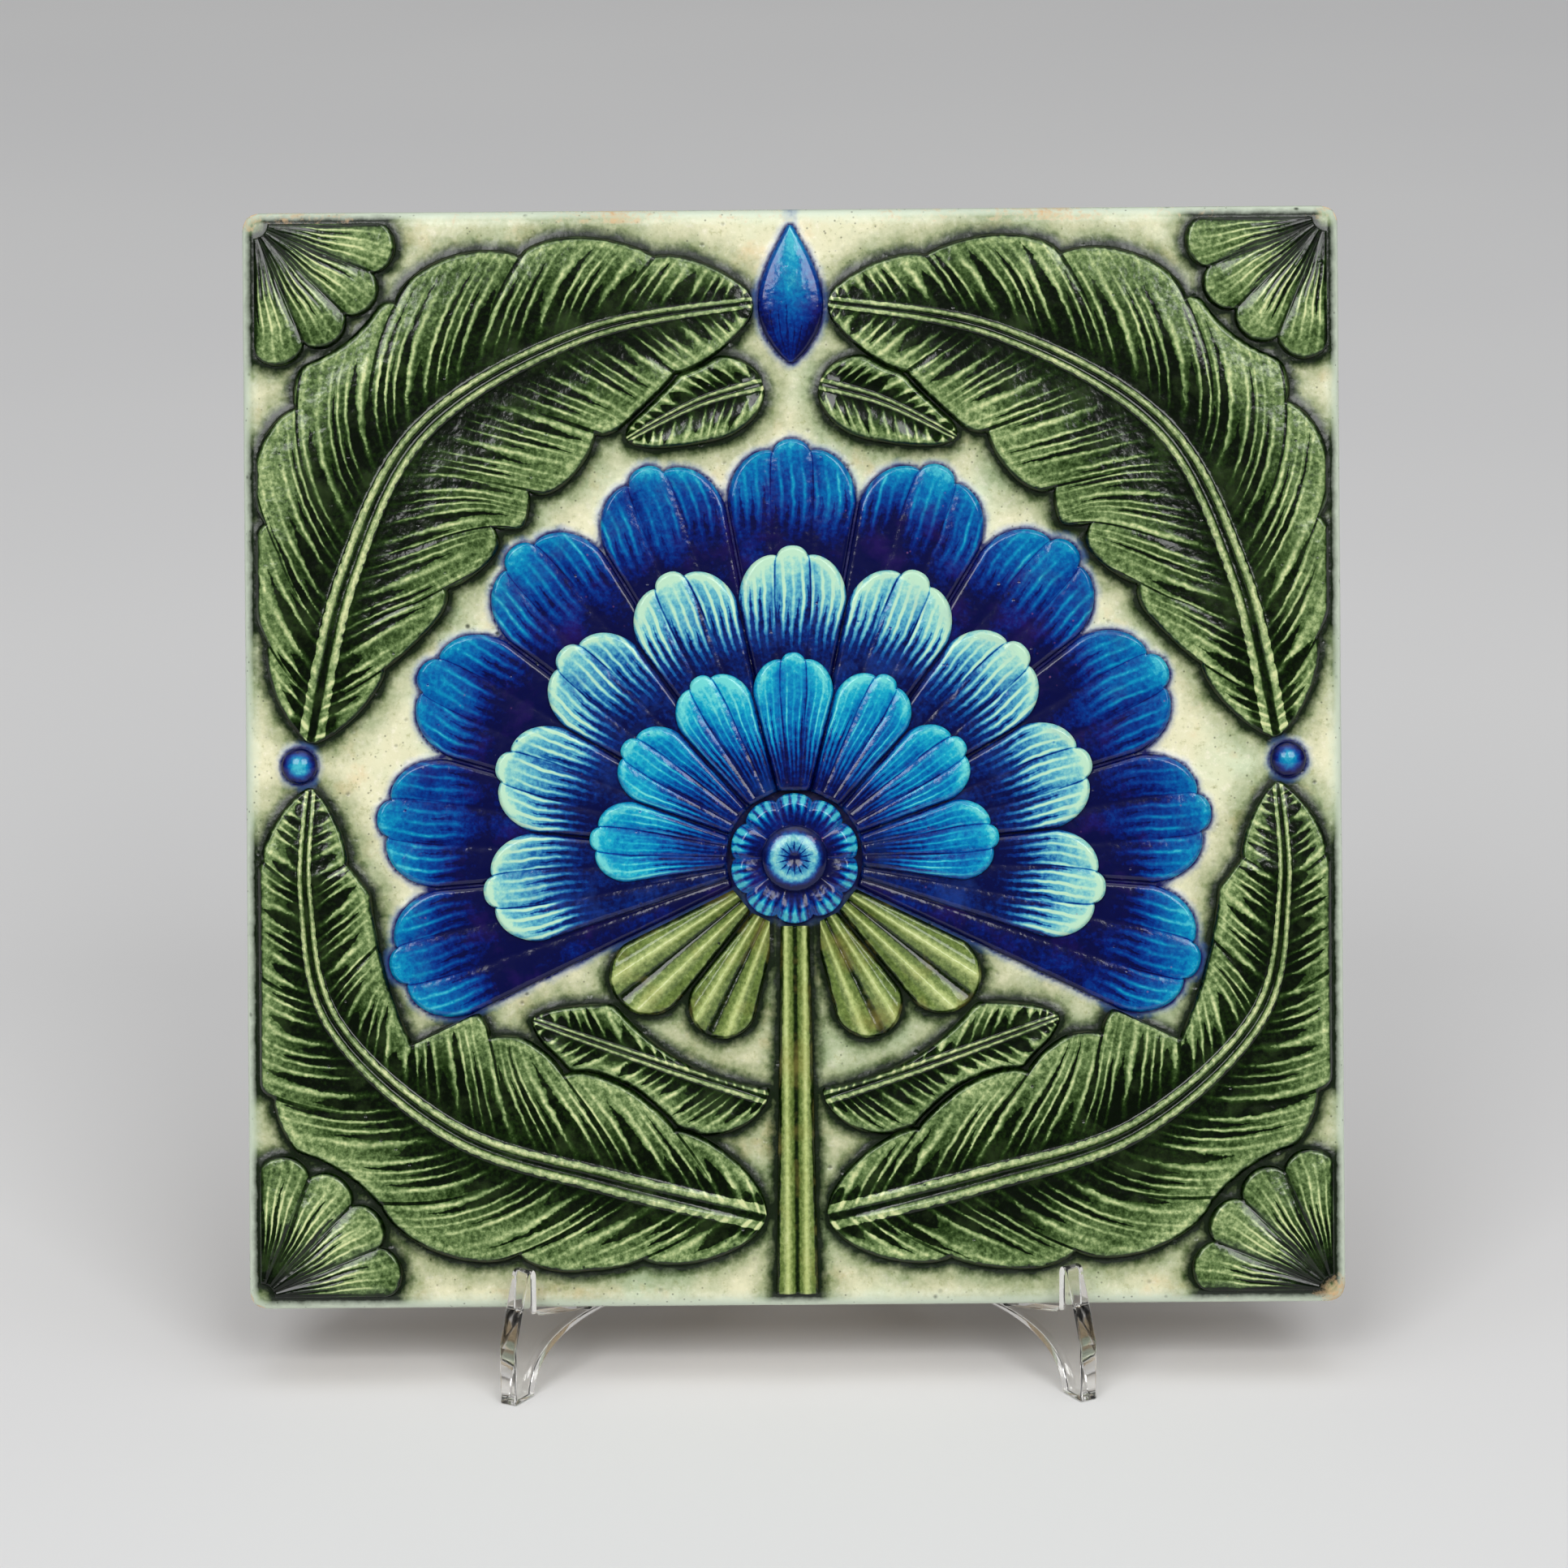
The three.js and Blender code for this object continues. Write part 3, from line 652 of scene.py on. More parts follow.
def petalGrid(radius, pitch):
    # A wedge from the focus with a half-round end, as distances along it and to its side.
    slope = math.tan(math.radians(pitch / 2))
    margin = blossom["petalGap"] / 2
    endRadius = radius * slope / (1 + slope) - margin
    middle = radius - endRadius
    wedgeRows = int((middle - blossom["root"]) / blossom["alongStep"]) + 2
    capRows = int(endRadius * 1.5 / blossom["acrossStep"])
    wedge = np.linspace(blossom["root"], middle, wedgeRows)[:-1]
    cap = np.radians(np.linspace(0, blossom["capEnd"], capRows))
    along = np.concatenate([wedge, middle + endRadius * np.sin(cap)])
    half = np.concatenate([wedge * slope - margin, endRadius * np.cos(cap)])
    full = np.concatenate([wedge * slope - margin, endRadius + 0 * cap])
    columns = int(2 * endRadius / blossom["acrossStep"]) + 1
    side = half[:, None] * np.linspace(-1, 1, columns)[None, :]
    along = np.repeat(along[:, None], columns, axis=1)
    full = full[:, None] + 0 * side
    edge = np.where(along > middle, endRadius - np.hypot(side, along - middle), full - np.abs(side))
    return along, side, full, edge, middle, endRadius


def notchedEnd(along, side, middle, endRadius):
    # Cuts two notches into a petal's round end, which leaves it with three lobes.
    turn = np.abs(np.degrees(np.arctan2(side, along - middle)))
    outer = (blossom["notchEnd"] - turn) / (blossom["notchEnd"] - blossom["notchAt"])
    lobe = np.where(turn < blossom["notchAt"], turn / blossom["notchAt"], limited(outer))
    depth = blossom["lobeNotch"] * (1 - np.sqrt(np.abs(np.cos(lobe * math.pi / 2)))) * (lobe > 0)
    shrink = 1 - depth * limited(np.hypot(side, along - middle) / endRadius) ** 4
    shrink = np.where(along > middle, shrink, 1)
    return middle + (along - middle) * shrink, side * shrink


def fanPlace(turn, along, side):
    # From distances along a petal and to its side to the face, for a petal at this turn.
    heading = math.radians(turn)
    x = focus[0] + math.sin(heading) * along + math.cos(heading) * side
    y = focus[1] + math.cos(heading) * along - math.sin(heading) * side
    return x, y


def petalPiece(node, turn, radius, pitch, hiddenTo, tier, level, foot, seed):
    along, side, full, edge, middle, endRadius = petalGrid(radius, pitch)
    share = side / full
    lobePhase = share * blossom["lobes"] / 2 + 0.5
    lobe = np.mod(lobePhase, 1) * 2 - 1
    crown = dome(lobe)
    distance = np.hypot(along, side)
    tip = limited((distance - hiddenTo) / (radius - hiddenTo))
    phase = share * blossom["strokes"] + 0.15 * np.sin(distance * 0.5 + seed)
    length = 0.5 + 0.3 * scatter(np.floor(phase), seed) + 0.14 * lobe**2
    crests = softStep(0.02, 0.5, tip) * (1 - 0.8 * softStep(0.55, 0.9, tip))
    furrow = hump(np.abs(lobe) - 1, 0.2) * (np.abs(share) < 0.9) * (1 - 0.6 * tip)
    height = blossom["thickness"] * (0.8 + 0.2 * (1 - lobe**2) * (0.4 + 0.6 * tip)) - 0.02 * furrow
    depth = between(tier["root"], tier["tip"] + 0.2 * scatter(seed, 5), tip**0.8)
    fields = {
        "glazeDepth": depth + 0.3 * (1 - crown) * (1 - 0.4 * tip),
        "strokePhase": phase,
        "strokeReach": 1.3 * limited(1 - (tip / length) ** 1.5),
        "crestReach": crests * (0.45 + 0.75 * scatter(np.floor(phase + 0.5), seed + 2)),
        "ridge": hump(edge - 0.9, 0.5) * tier["rim"] * tip + 0.3 * crown * tip,
        "edgeAway": np.clip(edge, 0, 3) + 0.35 * tip,
        "linePhase": lobePhase,
        "lineForce": 1.5 * (1 - 0.5 * tip) * (np.abs(share) < 0.92) * softStep(0.3, 0.9, full),
        "lineSharp": full * 2 / blossom["lobes"] / lineWidth,
    }
    x, y = fanPlace(turn, *notchedEnd(along, side, middle, endRadius))
    z = raised(height, edge, blossom["edgeRoll"], level)
    patchPiece(node, x, y, z, fields, tier["slot"], "blue", foot)


for k, tier in enumerate(tiers):
    pitch = 2 * tier["spread"] / (tier["count"] - 1)
    radius = blossom["radius"] * tier["reach"]
    hiddenTo = blossom["radius"] * tiers[k + 1]["reach"] if k + 1 < len(tiers) else blossom["root"]
    level = reliefLevel + k * blossom["tierRise"]
    foot = reliefFoot if k == 0 else level - blossom["tierSeat"]
    for n in range(tier["count"]):
        node = f"{tier['node']}_{n + 1:02d}"
        petalPiece(node, n * pitch - tier["spread"], radius, pitch, hiddenTo, tier, level, foot, n + 20 * k)
print("petals made")

# The boss at the blossom's focus, and the eye on it.
heart = {"radius": 9.0, "lobes": 10, "lobeDepth": 0.9, "top": 3.55, "floorDrop": 0.75, "rimDrop": 0.7}
eye = {"radius": 4.6, "rise": 1.2, "dimple": 0.35, "strokes": 14, "seat": 0.4}


def heartPiece():
    def lobeOf(turn):
        return np.sqrt(np.abs(np.sin(heart["lobes"] * turn / 2)))

    def outline(turn):
        return heart["radius"] - heart["lobeDepth"] * (1 - lobeOf(turn))

    def top(turn, share):
        rolled = softStep(1.0, 0.84, share)
        petals = 0.3 * lobeOf(turn) * softStep(0.45, 0.85, share)
        dish = 0.1 * softStep(0.6, 0.4, share)
        floor = reliefLevel + heart["top"] - heart["floorDrop"]
        return floor + (petals + dish) * rolled - heart["rimDrop"] * (1 - rolled)

    def shade(turn, share):
        lobe = lobeOf(turn)
        return {
            "glazeDepth": highest(0.95 - 0.8 * softStep(0.6, 0.95, share) * lobe, 0.9 * (lobe < 0.3)),
            "strokePhase": turn * heart["lobes"] * 4 / (2 * math.pi),
            "strokeReach": np.clip(1.2 - 1.4 * (share - 0.55), 0, 1.2) * (share > 0.5),
            "crestReach": softStep(0.5, 0.8, share),
            "ridge": hump(share - 0.9, 0.08) * lobe,
            "edgeAway": (1 - share) * heart["radius"] + 0.3,
        }

    discPiece("blossom_heart", focus, outline, top, shade, "cobalt_glaze", 34, 240)


def eyePiece():
    base = reliefLevel + heart["top"]

    def top(turn, share):
        return base + eye["rise"] * dome(share) - eye["dimple"] * hump(share, 0.28)

    def shade(turn, share):
        return {
            "glazeDepth": 0.95 * hump(share, 0.2) + 0.7 * softStep(0.6, 1.0, share) + 0.48,
            "strokePhase": turn * eye["strokes"] / (2 * math.pi),
            "strokeReach": np.clip(1.25 - 1.5 * share, 0, 1.1) * (share > 0.12),
            "ridge": hump(share - 0.62, 0.14) * 0.6,
            "edgeAway": (1 - share) * eye["radius"],
        }

    discPiece("blossom_eye", focus, lambda turn: eye["radius"], top, shade,
              "pale_blue_glaze", 22, 120, base - eye["seat"])


heartPiece()
eyePiece()

# The leaves. Their spines are points in shares of half the tile, on its right half.
leafSize = {
    "tipHalfWidth": 0.35,
    "lobeDepth": 0.17,
    "thickness": 1.8,
    "edge": 0.6,
    "alongStep": 0.32,
    "acrossStep": 0.34,
    "ribBand": 3.4,
    "ribColumns": 15,
    "strokeSpacing": 2.1,
    "sweep": 0.62,
    "sweepBend": 0.022,
    "strokeStart": 2.0,
    "strokeForce": 1.65,
    "veinForce": 1.55,
    "veinWidth": 0.55,
    "edgeRoll": (-0.6, 0.7),
}
leafForms = {
    "upper": {"spine": [(0.88, 0.03), (0.81, 0.33), (0.67, 0.6), (0.38, 0.77), (0.06, 0.83)],
              "halfWidth": 19, "lobes": 7, "fullness": 1.0, "rib": 1.05},
    "lower": {"spine": [(0.055, -0.84), (0.34, -0.77), (0.62, -0.68), (0.84, -0.48),
                        (0.89, -0.25), (0.88, -0.05)],
              "halfWidth": 16, "lobes": 7, "fullness": 0.8, "rib": 1.05},
    "smallUpper": {"spine": [(0.05, 0.68), (0.17, 0.645), (0.3, 0.58)],
                   "halfWidth": 5.5, "lobes": 0, "fullness": 0.8, "rib": 0.5},
    "smallLower": {"spine": [(0.05, -0.62), (0.24, -0.56), (0.48, -0.475)],
                   "halfWidth": 8, "lobes": 0, "fullness": 0.8, "rib": 0.6},
}
berry = {"place": (0.9, -0.01), "radius": 2.5, "rise": 1.6}
corner = {"radius": 20.0, "hub": 2.0, "lobes": 4, "lobeShare": 0.12, "strokes": 20}
bud = {"length": 19, "halfWidth": 4.2}
stem = {"topHalfWidth": 2.0, "footHalfWidth": 2.9}
sepals = {"pitch": 25, "turns": [128.5, 153.5], "reaches": [0.54, 0.47]}


def spineAt(points, v):
    # A smooth curve through the points, with the first and the last one used twice.
    knots = np.array(points) * halfTile
    count = len(knots)
    position = v * (count - 1)
    i = np.minimum(position.astype(int), count - 2)
    t = (position - i)[:, None]
    start = knots[i]
    end = knots[i + 1]
    leave = (end - knots[np.maximum(i - 1, 0)]) / 2
    arrive = (knots[np.minimum(i + 2, count - 1)] - start) / 2
    cubic = (2 * start - 2 * end + leave + arrive) * t**3
    square = (-3 * start + 3 * end - 2 * leave - arrive) * t**2
    return cubic + square + leave * t + start


def leafHalfWidth(form, v):
    swell = np.maximum(np.sin(math.pi * v ** form["fullness"]), 0) ** 0.85
    notch = 1 - np.sqrt(np.abs(np.sin(form["lobes"] * math.pi * v))) if form["lobes"] else 0
    return leafSize["tipHalfWidth"] + form["halfWidth"] * swell * (1 - leafSize["lobeDepth"] * notch)


def freeReach(point, aside, wanted, rooms):
    # How far a leaf may spread to one side at each place along it before it meets a room.
    tries = np.linspace(0.004, 1, 250)
    x = point[:, 0:1] + aside[:, 0:1] * wanted[:, None] * tries
    y = point[:, 1:2] + aside[:, 1:2] * wanted[:, None] * tries
    blocked = np.maximum(np.abs(x), np.abs(y)) > halfFace
    for room in rooms:
        blocked |= room(x, y)
    first = np.where(blocked.any(axis=1), blocked.argmax(axis=1), len(tries))
    free = wanted * first / len(tries)
    window = np.hanning(9) / np.hanning(9).sum()
    smooth = np.convolve(np.pad(free, 4, mode="edge"), window, mode="valid")
    return np.minimum(np.maximum(np.minimum(free, smooth), 0.1), wanted)


def freeRows(width):
    # The longest stretch along a leaf where the rooms leave it any width.
    free = np.concatenate([[False], width > 0.7, [False]])
    changes = np.flatnonzero(free[1:] != free[:-1])
    longest = np.argmax(changes[1::2] - changes[::2])
    return slice(changes[2 * longest], changes[2 * longest + 1])


def bladeColumns(margin, rib):
    # Ways from the midrib to a margin: close together over the ribs, then almost evenly spread.
    band = np.linspace(0, leafSize["ribBand"], leafSize["ribColumns"]) * rib[:, None]
    band = band * np.minimum(1, 0.55 * margin / band[:, -1])[:, None]
    count = int(margin.max() / leafSize["acrossStep"]) + 4
    share = 1 - (1 - np.linspace(0, 1, count)[1:]) ** 1.2
    return np.concatenate([band, band[:, -1:] + (margin[:, None] - band[:, -1:]) * share], axis=1)


def swept(along, away):
    # Where a stroke that passes here left the midrib. Strokes sweep towards the leaf's tip.
    return along - leafSize["sweep"] * away - leafSize["sweepBend"] * away**2


def leafPiece(node, form, rooms, mirrored, seed):
    # Gives the leaf's outline on the right half, for the small leaf that grows beside it.
    spine = spineAt(form["spine"], np.linspace(0, 1, 200))
    length = np.linalg.norm(np.diff(spine, axis=0), axis=1).sum()
    v = np.linspace(0, 1, int(length / leafSize["alongStep"]))
    point = spineAt(form["spine"], v)
    ahead = spineAt(form["spine"], limited(v + 0.002)) - spineAt(form["spine"], limited(v - 0.002))
    ahead = ahead / np.linalg.norm(ahead, axis=1)[:, None]
    aside = np.stack([ahead[:, 1], -ahead[:, 0]], -1)
    wanted = leafHalfWidth(form, v)
    toRight = freeReach(point, aside, wanted, rooms)
    toLeft = freeReach(point, -aside, wanted, rooms)
    kept = freeRows(toRight + toLeft)
    v, point, aside, toRight, toLeft = [values[kept] for values in (v, point, aside, toRight, toLeft)]
    rib = form["rib"] * between(1.0, 0.4, v)
    offset = np.concatenate([-bladeColumns(toLeft, rib)[:, :0:-1], bladeColumns(toRight, rib)], axis=1)
    onRight = offset > 0
    x = point[:, 0:1] + aside[:, 0:1] * offset
    y = point[:, 1:2] + aside[:, 1:2] * offset
    margin = np.where(onRight, toRight[:, None], toLeft[:, None])
    away = np.abs(offset)
    edge = margin - away
    share = away / np.maximum(margin, 0.5)
    rib = rib[:, None]
    begin = (v[:, None] - v[0]) / (v[-1] - v[0])
    ends = np.minimum(1, 6 * np.minimum(begin, 1 - begin))

    travelled = swept(v[:, None] * length, away)
    spacing = leafSize["strokeSpacing"] * (1 if form["lobes"] else 0.8)
    phase = travelled / spacing + np.where(onRight, 0.5, 0) + 0.3 * np.sin(travelled * 0.7 + seed)
    number = np.floor(phase)
    spread = scatter(number, seed + onRight * 3)
    strokeShare = np.where(np.mod(number, 2) < 1, 0.7 + 0.34 * spread, 0.34 + 0.36 * spread)
    start = leafSize["strokeStart"] * rib
    outward = limited((away - start) / np.maximum(strokeShare * (margin - start), 0.3))
    reach = leafSize["strokeForce"] * (1 - outward) ** 0.85 * softStep(1.6 * rib, 1.9 * rib, away)

    # Veins run to the notches between the leaf's lobes.
    fields = {}
    veinCut = 0
    if form["lobes"]:
        numbers = np.arange(1, form["lobes"])
        shares = numbers / form["lobes"]
        notches = swept(shares * length, leafHalfWidth(form, shares))
        notches = np.concatenate([[notches[0] - 5], notches, [notches[-1] + 5]])
        numbers = np.concatenate([[0.5], numbers, [form["lobes"] - 0.5]])
        veinPhase = np.interp(travelled, notches, numbers)
        veinSpacing = length / form["lobes"]
        force = softStep(0.2, 0.6, share) * softStep(1.5, 3, margin)
        fields = {"linePhase": veinPhase, "lineForce": leafSize["veinForce"] * force,
                  "lineSharp": veinSpacing / lineWidth}
        veinAway = np.abs(np.mod(veinPhase + 0.5, 1) - 0.5) * veinSpacing
        veinCut = hump(veinAway, leafSize["veinWidth"]) * force

    middleLine = 1 - softStep(0.4, 0.75, away / rib)
    ribs = hump(away - 1.2 * rib, 0.42 * rib) * ends
    flank = softStep(1.6 * rib, 1.95 * rib, away) * (1 - softStep(2.2 * rib, 4.4 * rib, away))
    bladeShade = 0.42 + 0.46 * (1 - softStep(0.08, 0.85, share))
    bladeShade = np.where(away < 1.75 * rib, 0.36, bladeShade)
    crown = softStep(1.2, 0.5 * form["halfWidth"] + 1.2, away) * (1 - 0.6 * softStep(0.6, 1, share))
    height = leafSize["edge"] + (leafSize["thickness"] - leafSize["edge"]) * ends * (0.6 + 0.16 * crown)
    height = height + (0.5 * ribs - 0.2 * middleLine) * form["rib"] * ends
    height = height - (0.01 * strokeDark(phase, reach) + 0.05 * veinCut) * ends
    fields |= {
        "glazeDepth": highest(bladeShade, middleLine * 0.97, flank * 0.97),
        "strokePhase": phase,
        "strokeReach": reach,
        "crestReach": softStep(0.03, 0.3, share) * (1 - 0.75 * softStep(0.5, 0.9, share)),
        "ridge": highest(ribs * 0.6, hump(edge - 1.2, 0.4) * 0.35),
        "edgeAway": np.clip(edge, 0, 3),
    }
    z = raised(height, edge, leafSize["edgeRoll"])
    patchPiece(node, x, y, z, fields, "leaf_glaze", "green", mirrored=mirrored)
    return np.stack([np.concatenate([side[:, -1], side[::-1, 0]]) for side in (x, y)], -1)


cornerMiddles = [(halfFace, halfFace), (-halfFace, halfFace), (-halfFace, -halfFace), (halfFace, -halfFace)]
berryMiddle = np.array(berry["place"]) * halfTile
rooms = [
    roundRoom(focus, blossom["radius"] + gap, 0, fanEdge),
    roundRoom(focus, blossom["radius"] * max(sepals["reaches"]) + gap, fanEdge, 180),
    stripRoom(stem["footHalfWidth"] + gap, -halfTile, -blossom["drop"]),
    stripRoom(bud["halfWidth"] + leafSize["tipHalfWidth"] + gap, halfTile - bud["length"], halfTile),
    roundRoom(berryMiddle, berry["radius"] + gap),
    roundRoom(cornerMiddles[0], corner["radius"] + gap),
    roundRoom(cornerMiddles[3], corner["radius"] + gap),
]
for number, sideName in enumerate(["left", "right"]):
    mirrored = sideName == "left"
    for levelName in ("upper", "lower"):
        seed = 2 * number + (levelName == "upper")
        rim = leafPiece(f"leaf_{levelName}_{sideName}", leafForms[levelName], rooms, mirrored, seed)
        fromMiddle = rim - rim.mean(axis=0)
        beside = shapeRoom(rim + gap * fromMiddle / np.linalg.norm(fromMiddle, axis=1)[:, None])
        small = leafForms["small" + levelName.title()]
        leafPiece(f"small_leaf_{levelName}_{sideName}", small, rooms + [beside], mirrored, seed + 7)
print("leaves made")


def berryPiece(node, side):
    def top(turn, share):
        return reliefLevel + berry["rise"] * dome(0.97 * share)

    def shade(turn, share):
        return {"glazeDepth": 0.25 + 0.8 * softStep(0.35, 1, share), "ridge": hump(share, 0.4),
                "edgeAway": (1 - share) * berry["radius"]}

    discPiece(node, (side * berryMiddle[0], berryMiddle[1]), lambda turn: berry["radius"],
              top, shade, "cobalt_glaze", 12, 60)


berryPiece("berry_left", -1)
berryPiece("berry_right", 1)


def cornerPiece(label, middle, quarter):
    # A shell-like quarter round, whose lobes and ribs spread from the tile's corner.
    v = np.linspace(0, 1, 150)[:, None]
    u = np.linspace(0, 1, 70)[None, ::-1]
    lobe = np.sqrt(np.abs(np.sin(corner["lobes"] * math.pi * v)))
    outer = corner["radius"] * (1 - corner["lobeShare"] * (1 - lobe))
    radius = corner["hub"] + (outer - corner["hub"]) * u
    angle = np.radians(180 + 90 * v + 90 * quarter)
    across = np.mod(corner["lobes"] * v, 1) * 2 - 1 + 0 * u
    toSide = np.minimum(v, 1 - v)
    edge = np.minimum(outer - radius, toSide * radius * math.pi / 2)
    phase = v * corner["strokes"] + 0.12 * np.sin(radius * 0.7 + quarter)
    strokeShare = 0.5 + 0.42 * scatter(np.floor(phase), quarter)
    reach = 1.45 * limited(1 - (u / strokeShare) ** 1.5)
    ribs = hump(np.abs(across), 0.16) * softStep(0.95, 0.55, u) * softStep(0.05, 0.2, u)
    rise = 0.3 + 0.45 * dome(across) * np.sin(math.pi * (0.15 + 0.8 * u))
    height = leafSize["edge"] + (leafSize["thickness"] - leafSize["edge"]) * rise
    height = height - 0.05 * strokeDark(phase, reach)
    fields = {
        "glazeDepth": 0.4 + 0.5 * (1 - softStep(0, 0.7, u)) + 0.15 * np.abs(across) ** 3,
        "strokePhase": phase,
        "strokeReach": reach,
        "crestReach": softStep(0.1, 0.4, u) * (1 - 0.75 * softStep(0.5, 0.9, u)),
        "ridge": ribs * 0.5,
        "edgeAway": np.clip(edge, 0, 3),
        "linePhase": corner["lobes"] * v,
        "lineForce": 1.5 * softStep(0.1, 0.3, u) * (toSide > 0.1),
        "lineSharp": radius * math.pi / 2 / corner["lobes"] / lineWidth,
    }
    x = middle[0] + radius * np.cos(angle)
    y = middle[1] + radius * np.sin(angle)
    patchPiece(f"corner_rosette_{label}", x, y, raised(height, outer - radius), fields, "leaf_glaze", "green")


for quarter, label in enumerate(["upper_right", "upper_left", "lower_left", "lower_right"]):
    cornerPiece(label, cornerMiddles[quarter], quarter)


def barPiece(node, x, y, away, edge, groove, rib, ribWidth):
    # A slim raised bar with a light ridge on each side of a dark groove.
    middleLine = hump(away, groove)
    ribs = hump(away - rib, ribWidth)
    height = leafSize["thickness"] * (0.62 + 0.38 * ribs - 0.22 * middleLine)
    fields = {"glazeDepth": highest(0.6, middleLine), "ridge": ribs, "edgeAway": np.clip(edge, 0, 3)}
    patchPiece(node, x, y, raised(height, edge), fields, "stem_glaze", "green")


def stemPiece():
    v = np.linspace(0, 1, 180)[:, None]
    half = between(stem["footHalfWidth"], stem["topHalfWidth"], v)
    x = np.linspace(-1, 1, 29)[None, :] * half
    top = -blossom["drop"] - heart["radius"] - 0.4
    barPiece("stem", x, between(-halfFace, top, v), np.abs(x), half - np.abs(x), 0.55, 1.3, 0.55)


def sepalPiece(node, turn, radius):
    along, side, _, edge, _, endRadius = petalGrid(radius, sepals["pitch"])
    x, y = fanPlace(turn, along, side)
    limit = stem["footHalfWidth"] + gap
    x = np.where(turn > 0, np.maximum(x, limit), np.minimum(x, -limit))
    ribAt = np.maximum(endRadius * 0.62 * along / radius, 0.8)
    barPiece(node, x, y, np.abs(side) / ribAt, edge, 0.36, 0.85, 0.26)


stemPiece()
for side, sideName in [(-1, "left"), (1, "right")]:
    for k, (turn, reach) in enumerate(zip(sepals["turns"], sepals["reaches"])):
        sepalPiece(f"sepal_{sideName}_{k + 1}", side * turn, blossom["radius"] * reach)


def budPiece():
    v = np.linspace(0, 1, 80)[:, None]
    u = np.linspace(-1, 1, 37)[None, :]
    half = leafSize["tipHalfWidth"] + bud["halfWidth"] * np.sin(math.pi * v**0.8)
    edge = half - np.abs(u * half)
    rise = dome(u) * np.sin(math.pi * np.clip(v, 0.05, 0.95))
    phase = u * 4
    reach = np.clip(1.35 * (1 - v / (0.45 + 0.3 * scatter(np.floor(phase), 3))), 0, 1.35)
    height = leafSize["edge"] + 0.42 * rise - 0.01 * strokeDark(phase, reach)
    fields = {
        "glazeDepth": between(0.9, 0.15, v) + 0.3 * np.abs(u) ** 3,
        "strokePhase": phase,
        "strokeReach": reach,
        "ridge": hump(u, 0.4) * v,
        "edgeAway": np.clip(edge, 0, 3),
    }
    y = halfFace - gap - bud["length"] * (1 - v)
    patchPiece("top_bud", u * half, y, raised(height, edge), fields, "cobalt_glaze", "blue")


budPiece()
print("small motifs made")

# The ground glaze, which rolls over the tile's edge and runs a little way down its sides.
ground = {
    "side": 76.15,
    "roll": 1.8,
    "step": 0.5,
    "cornerRadius": 2.2,
    "ripple": 0.04,
    "meniscus": 0.16,
    "shortRun": 0.5,
    "longRun": 1.8,
    "skin": 0.35,
    "farthest": 9.0,
}
# The places where the glaze has drawn back from the edge: middle and reach, in millimetres.
bareSpots = [((-76, 76), 3.2), ((76, -76), 4.2), ((60, -76.2), 1.6), ((-76.2, -70), 1.5), ((30, 76.2), 1.2)]


def nearestAway(x, y, family):
    # How far each point is from the nearest outline of a glaze family.
    outline = np.concatenate(outlines[family])
    tree = KDTree(len(outline))
    for k, (outlineX, outlineY) in enumerate(outline):
        tree.insert((outlineX, outlineY, 0.0), k)
    tree.balance()
    found = [tree.find((pointX, pointY, 0.0))[2] for pointX, pointY in zip(x.ravel(), y.ravel())]
    return np.minimum(np.array(found), ground["farthest"]).reshape(x.shape)


def roundedGrid(lines, half, radius):
    # A square grid on these lines both ways, whose corners are pulled in to a radius. Gives its
    # points, the way out of each and its way to the border.
    x, y = np.meshgrid(*lines)
    overX = np.maximum(np.abs(x) - (half - radius), 0)
    overY = np.maximum(np.abs(y) - (half - radius), 0)
    reach = np.maximum(np.hypot(overX, overY), 1e-9)
    scale = np.where((overX > 0) & (overY > 0), np.maximum(overX, overY) / reach, 1)
    newX = np.sign(x) * (np.abs(x) - overX + overX * scale)
    newY = np.sign(y) * (np.abs(y) - overY + overY * scale)
    outward = np.stack([np.sign(x) * overX / reach, np.sign(y) * overY / reach], -1)
    return newX, newY, outward, np.minimum(half - np.abs(x), half - np.abs(y))


def sheetOf(x, y, z, outward):
    # A grid's points, faces and rim, and for its rim the way out, the place along it and a seed.
    quads, rim = gridFaces(*x.shape)
    points = np.stack([x, y, z], -1).reshape(-1, 3)
    way = outward.reshape(-1, 2)[rim]
    along = np.where(np.abs(way[:, 0]) > np.abs(way[:, 1]), points[rim, 1], points[rim, 0])
    return points, quads, rim, way, along, 3 * way[:, 0] + 5 * way[:, 1]


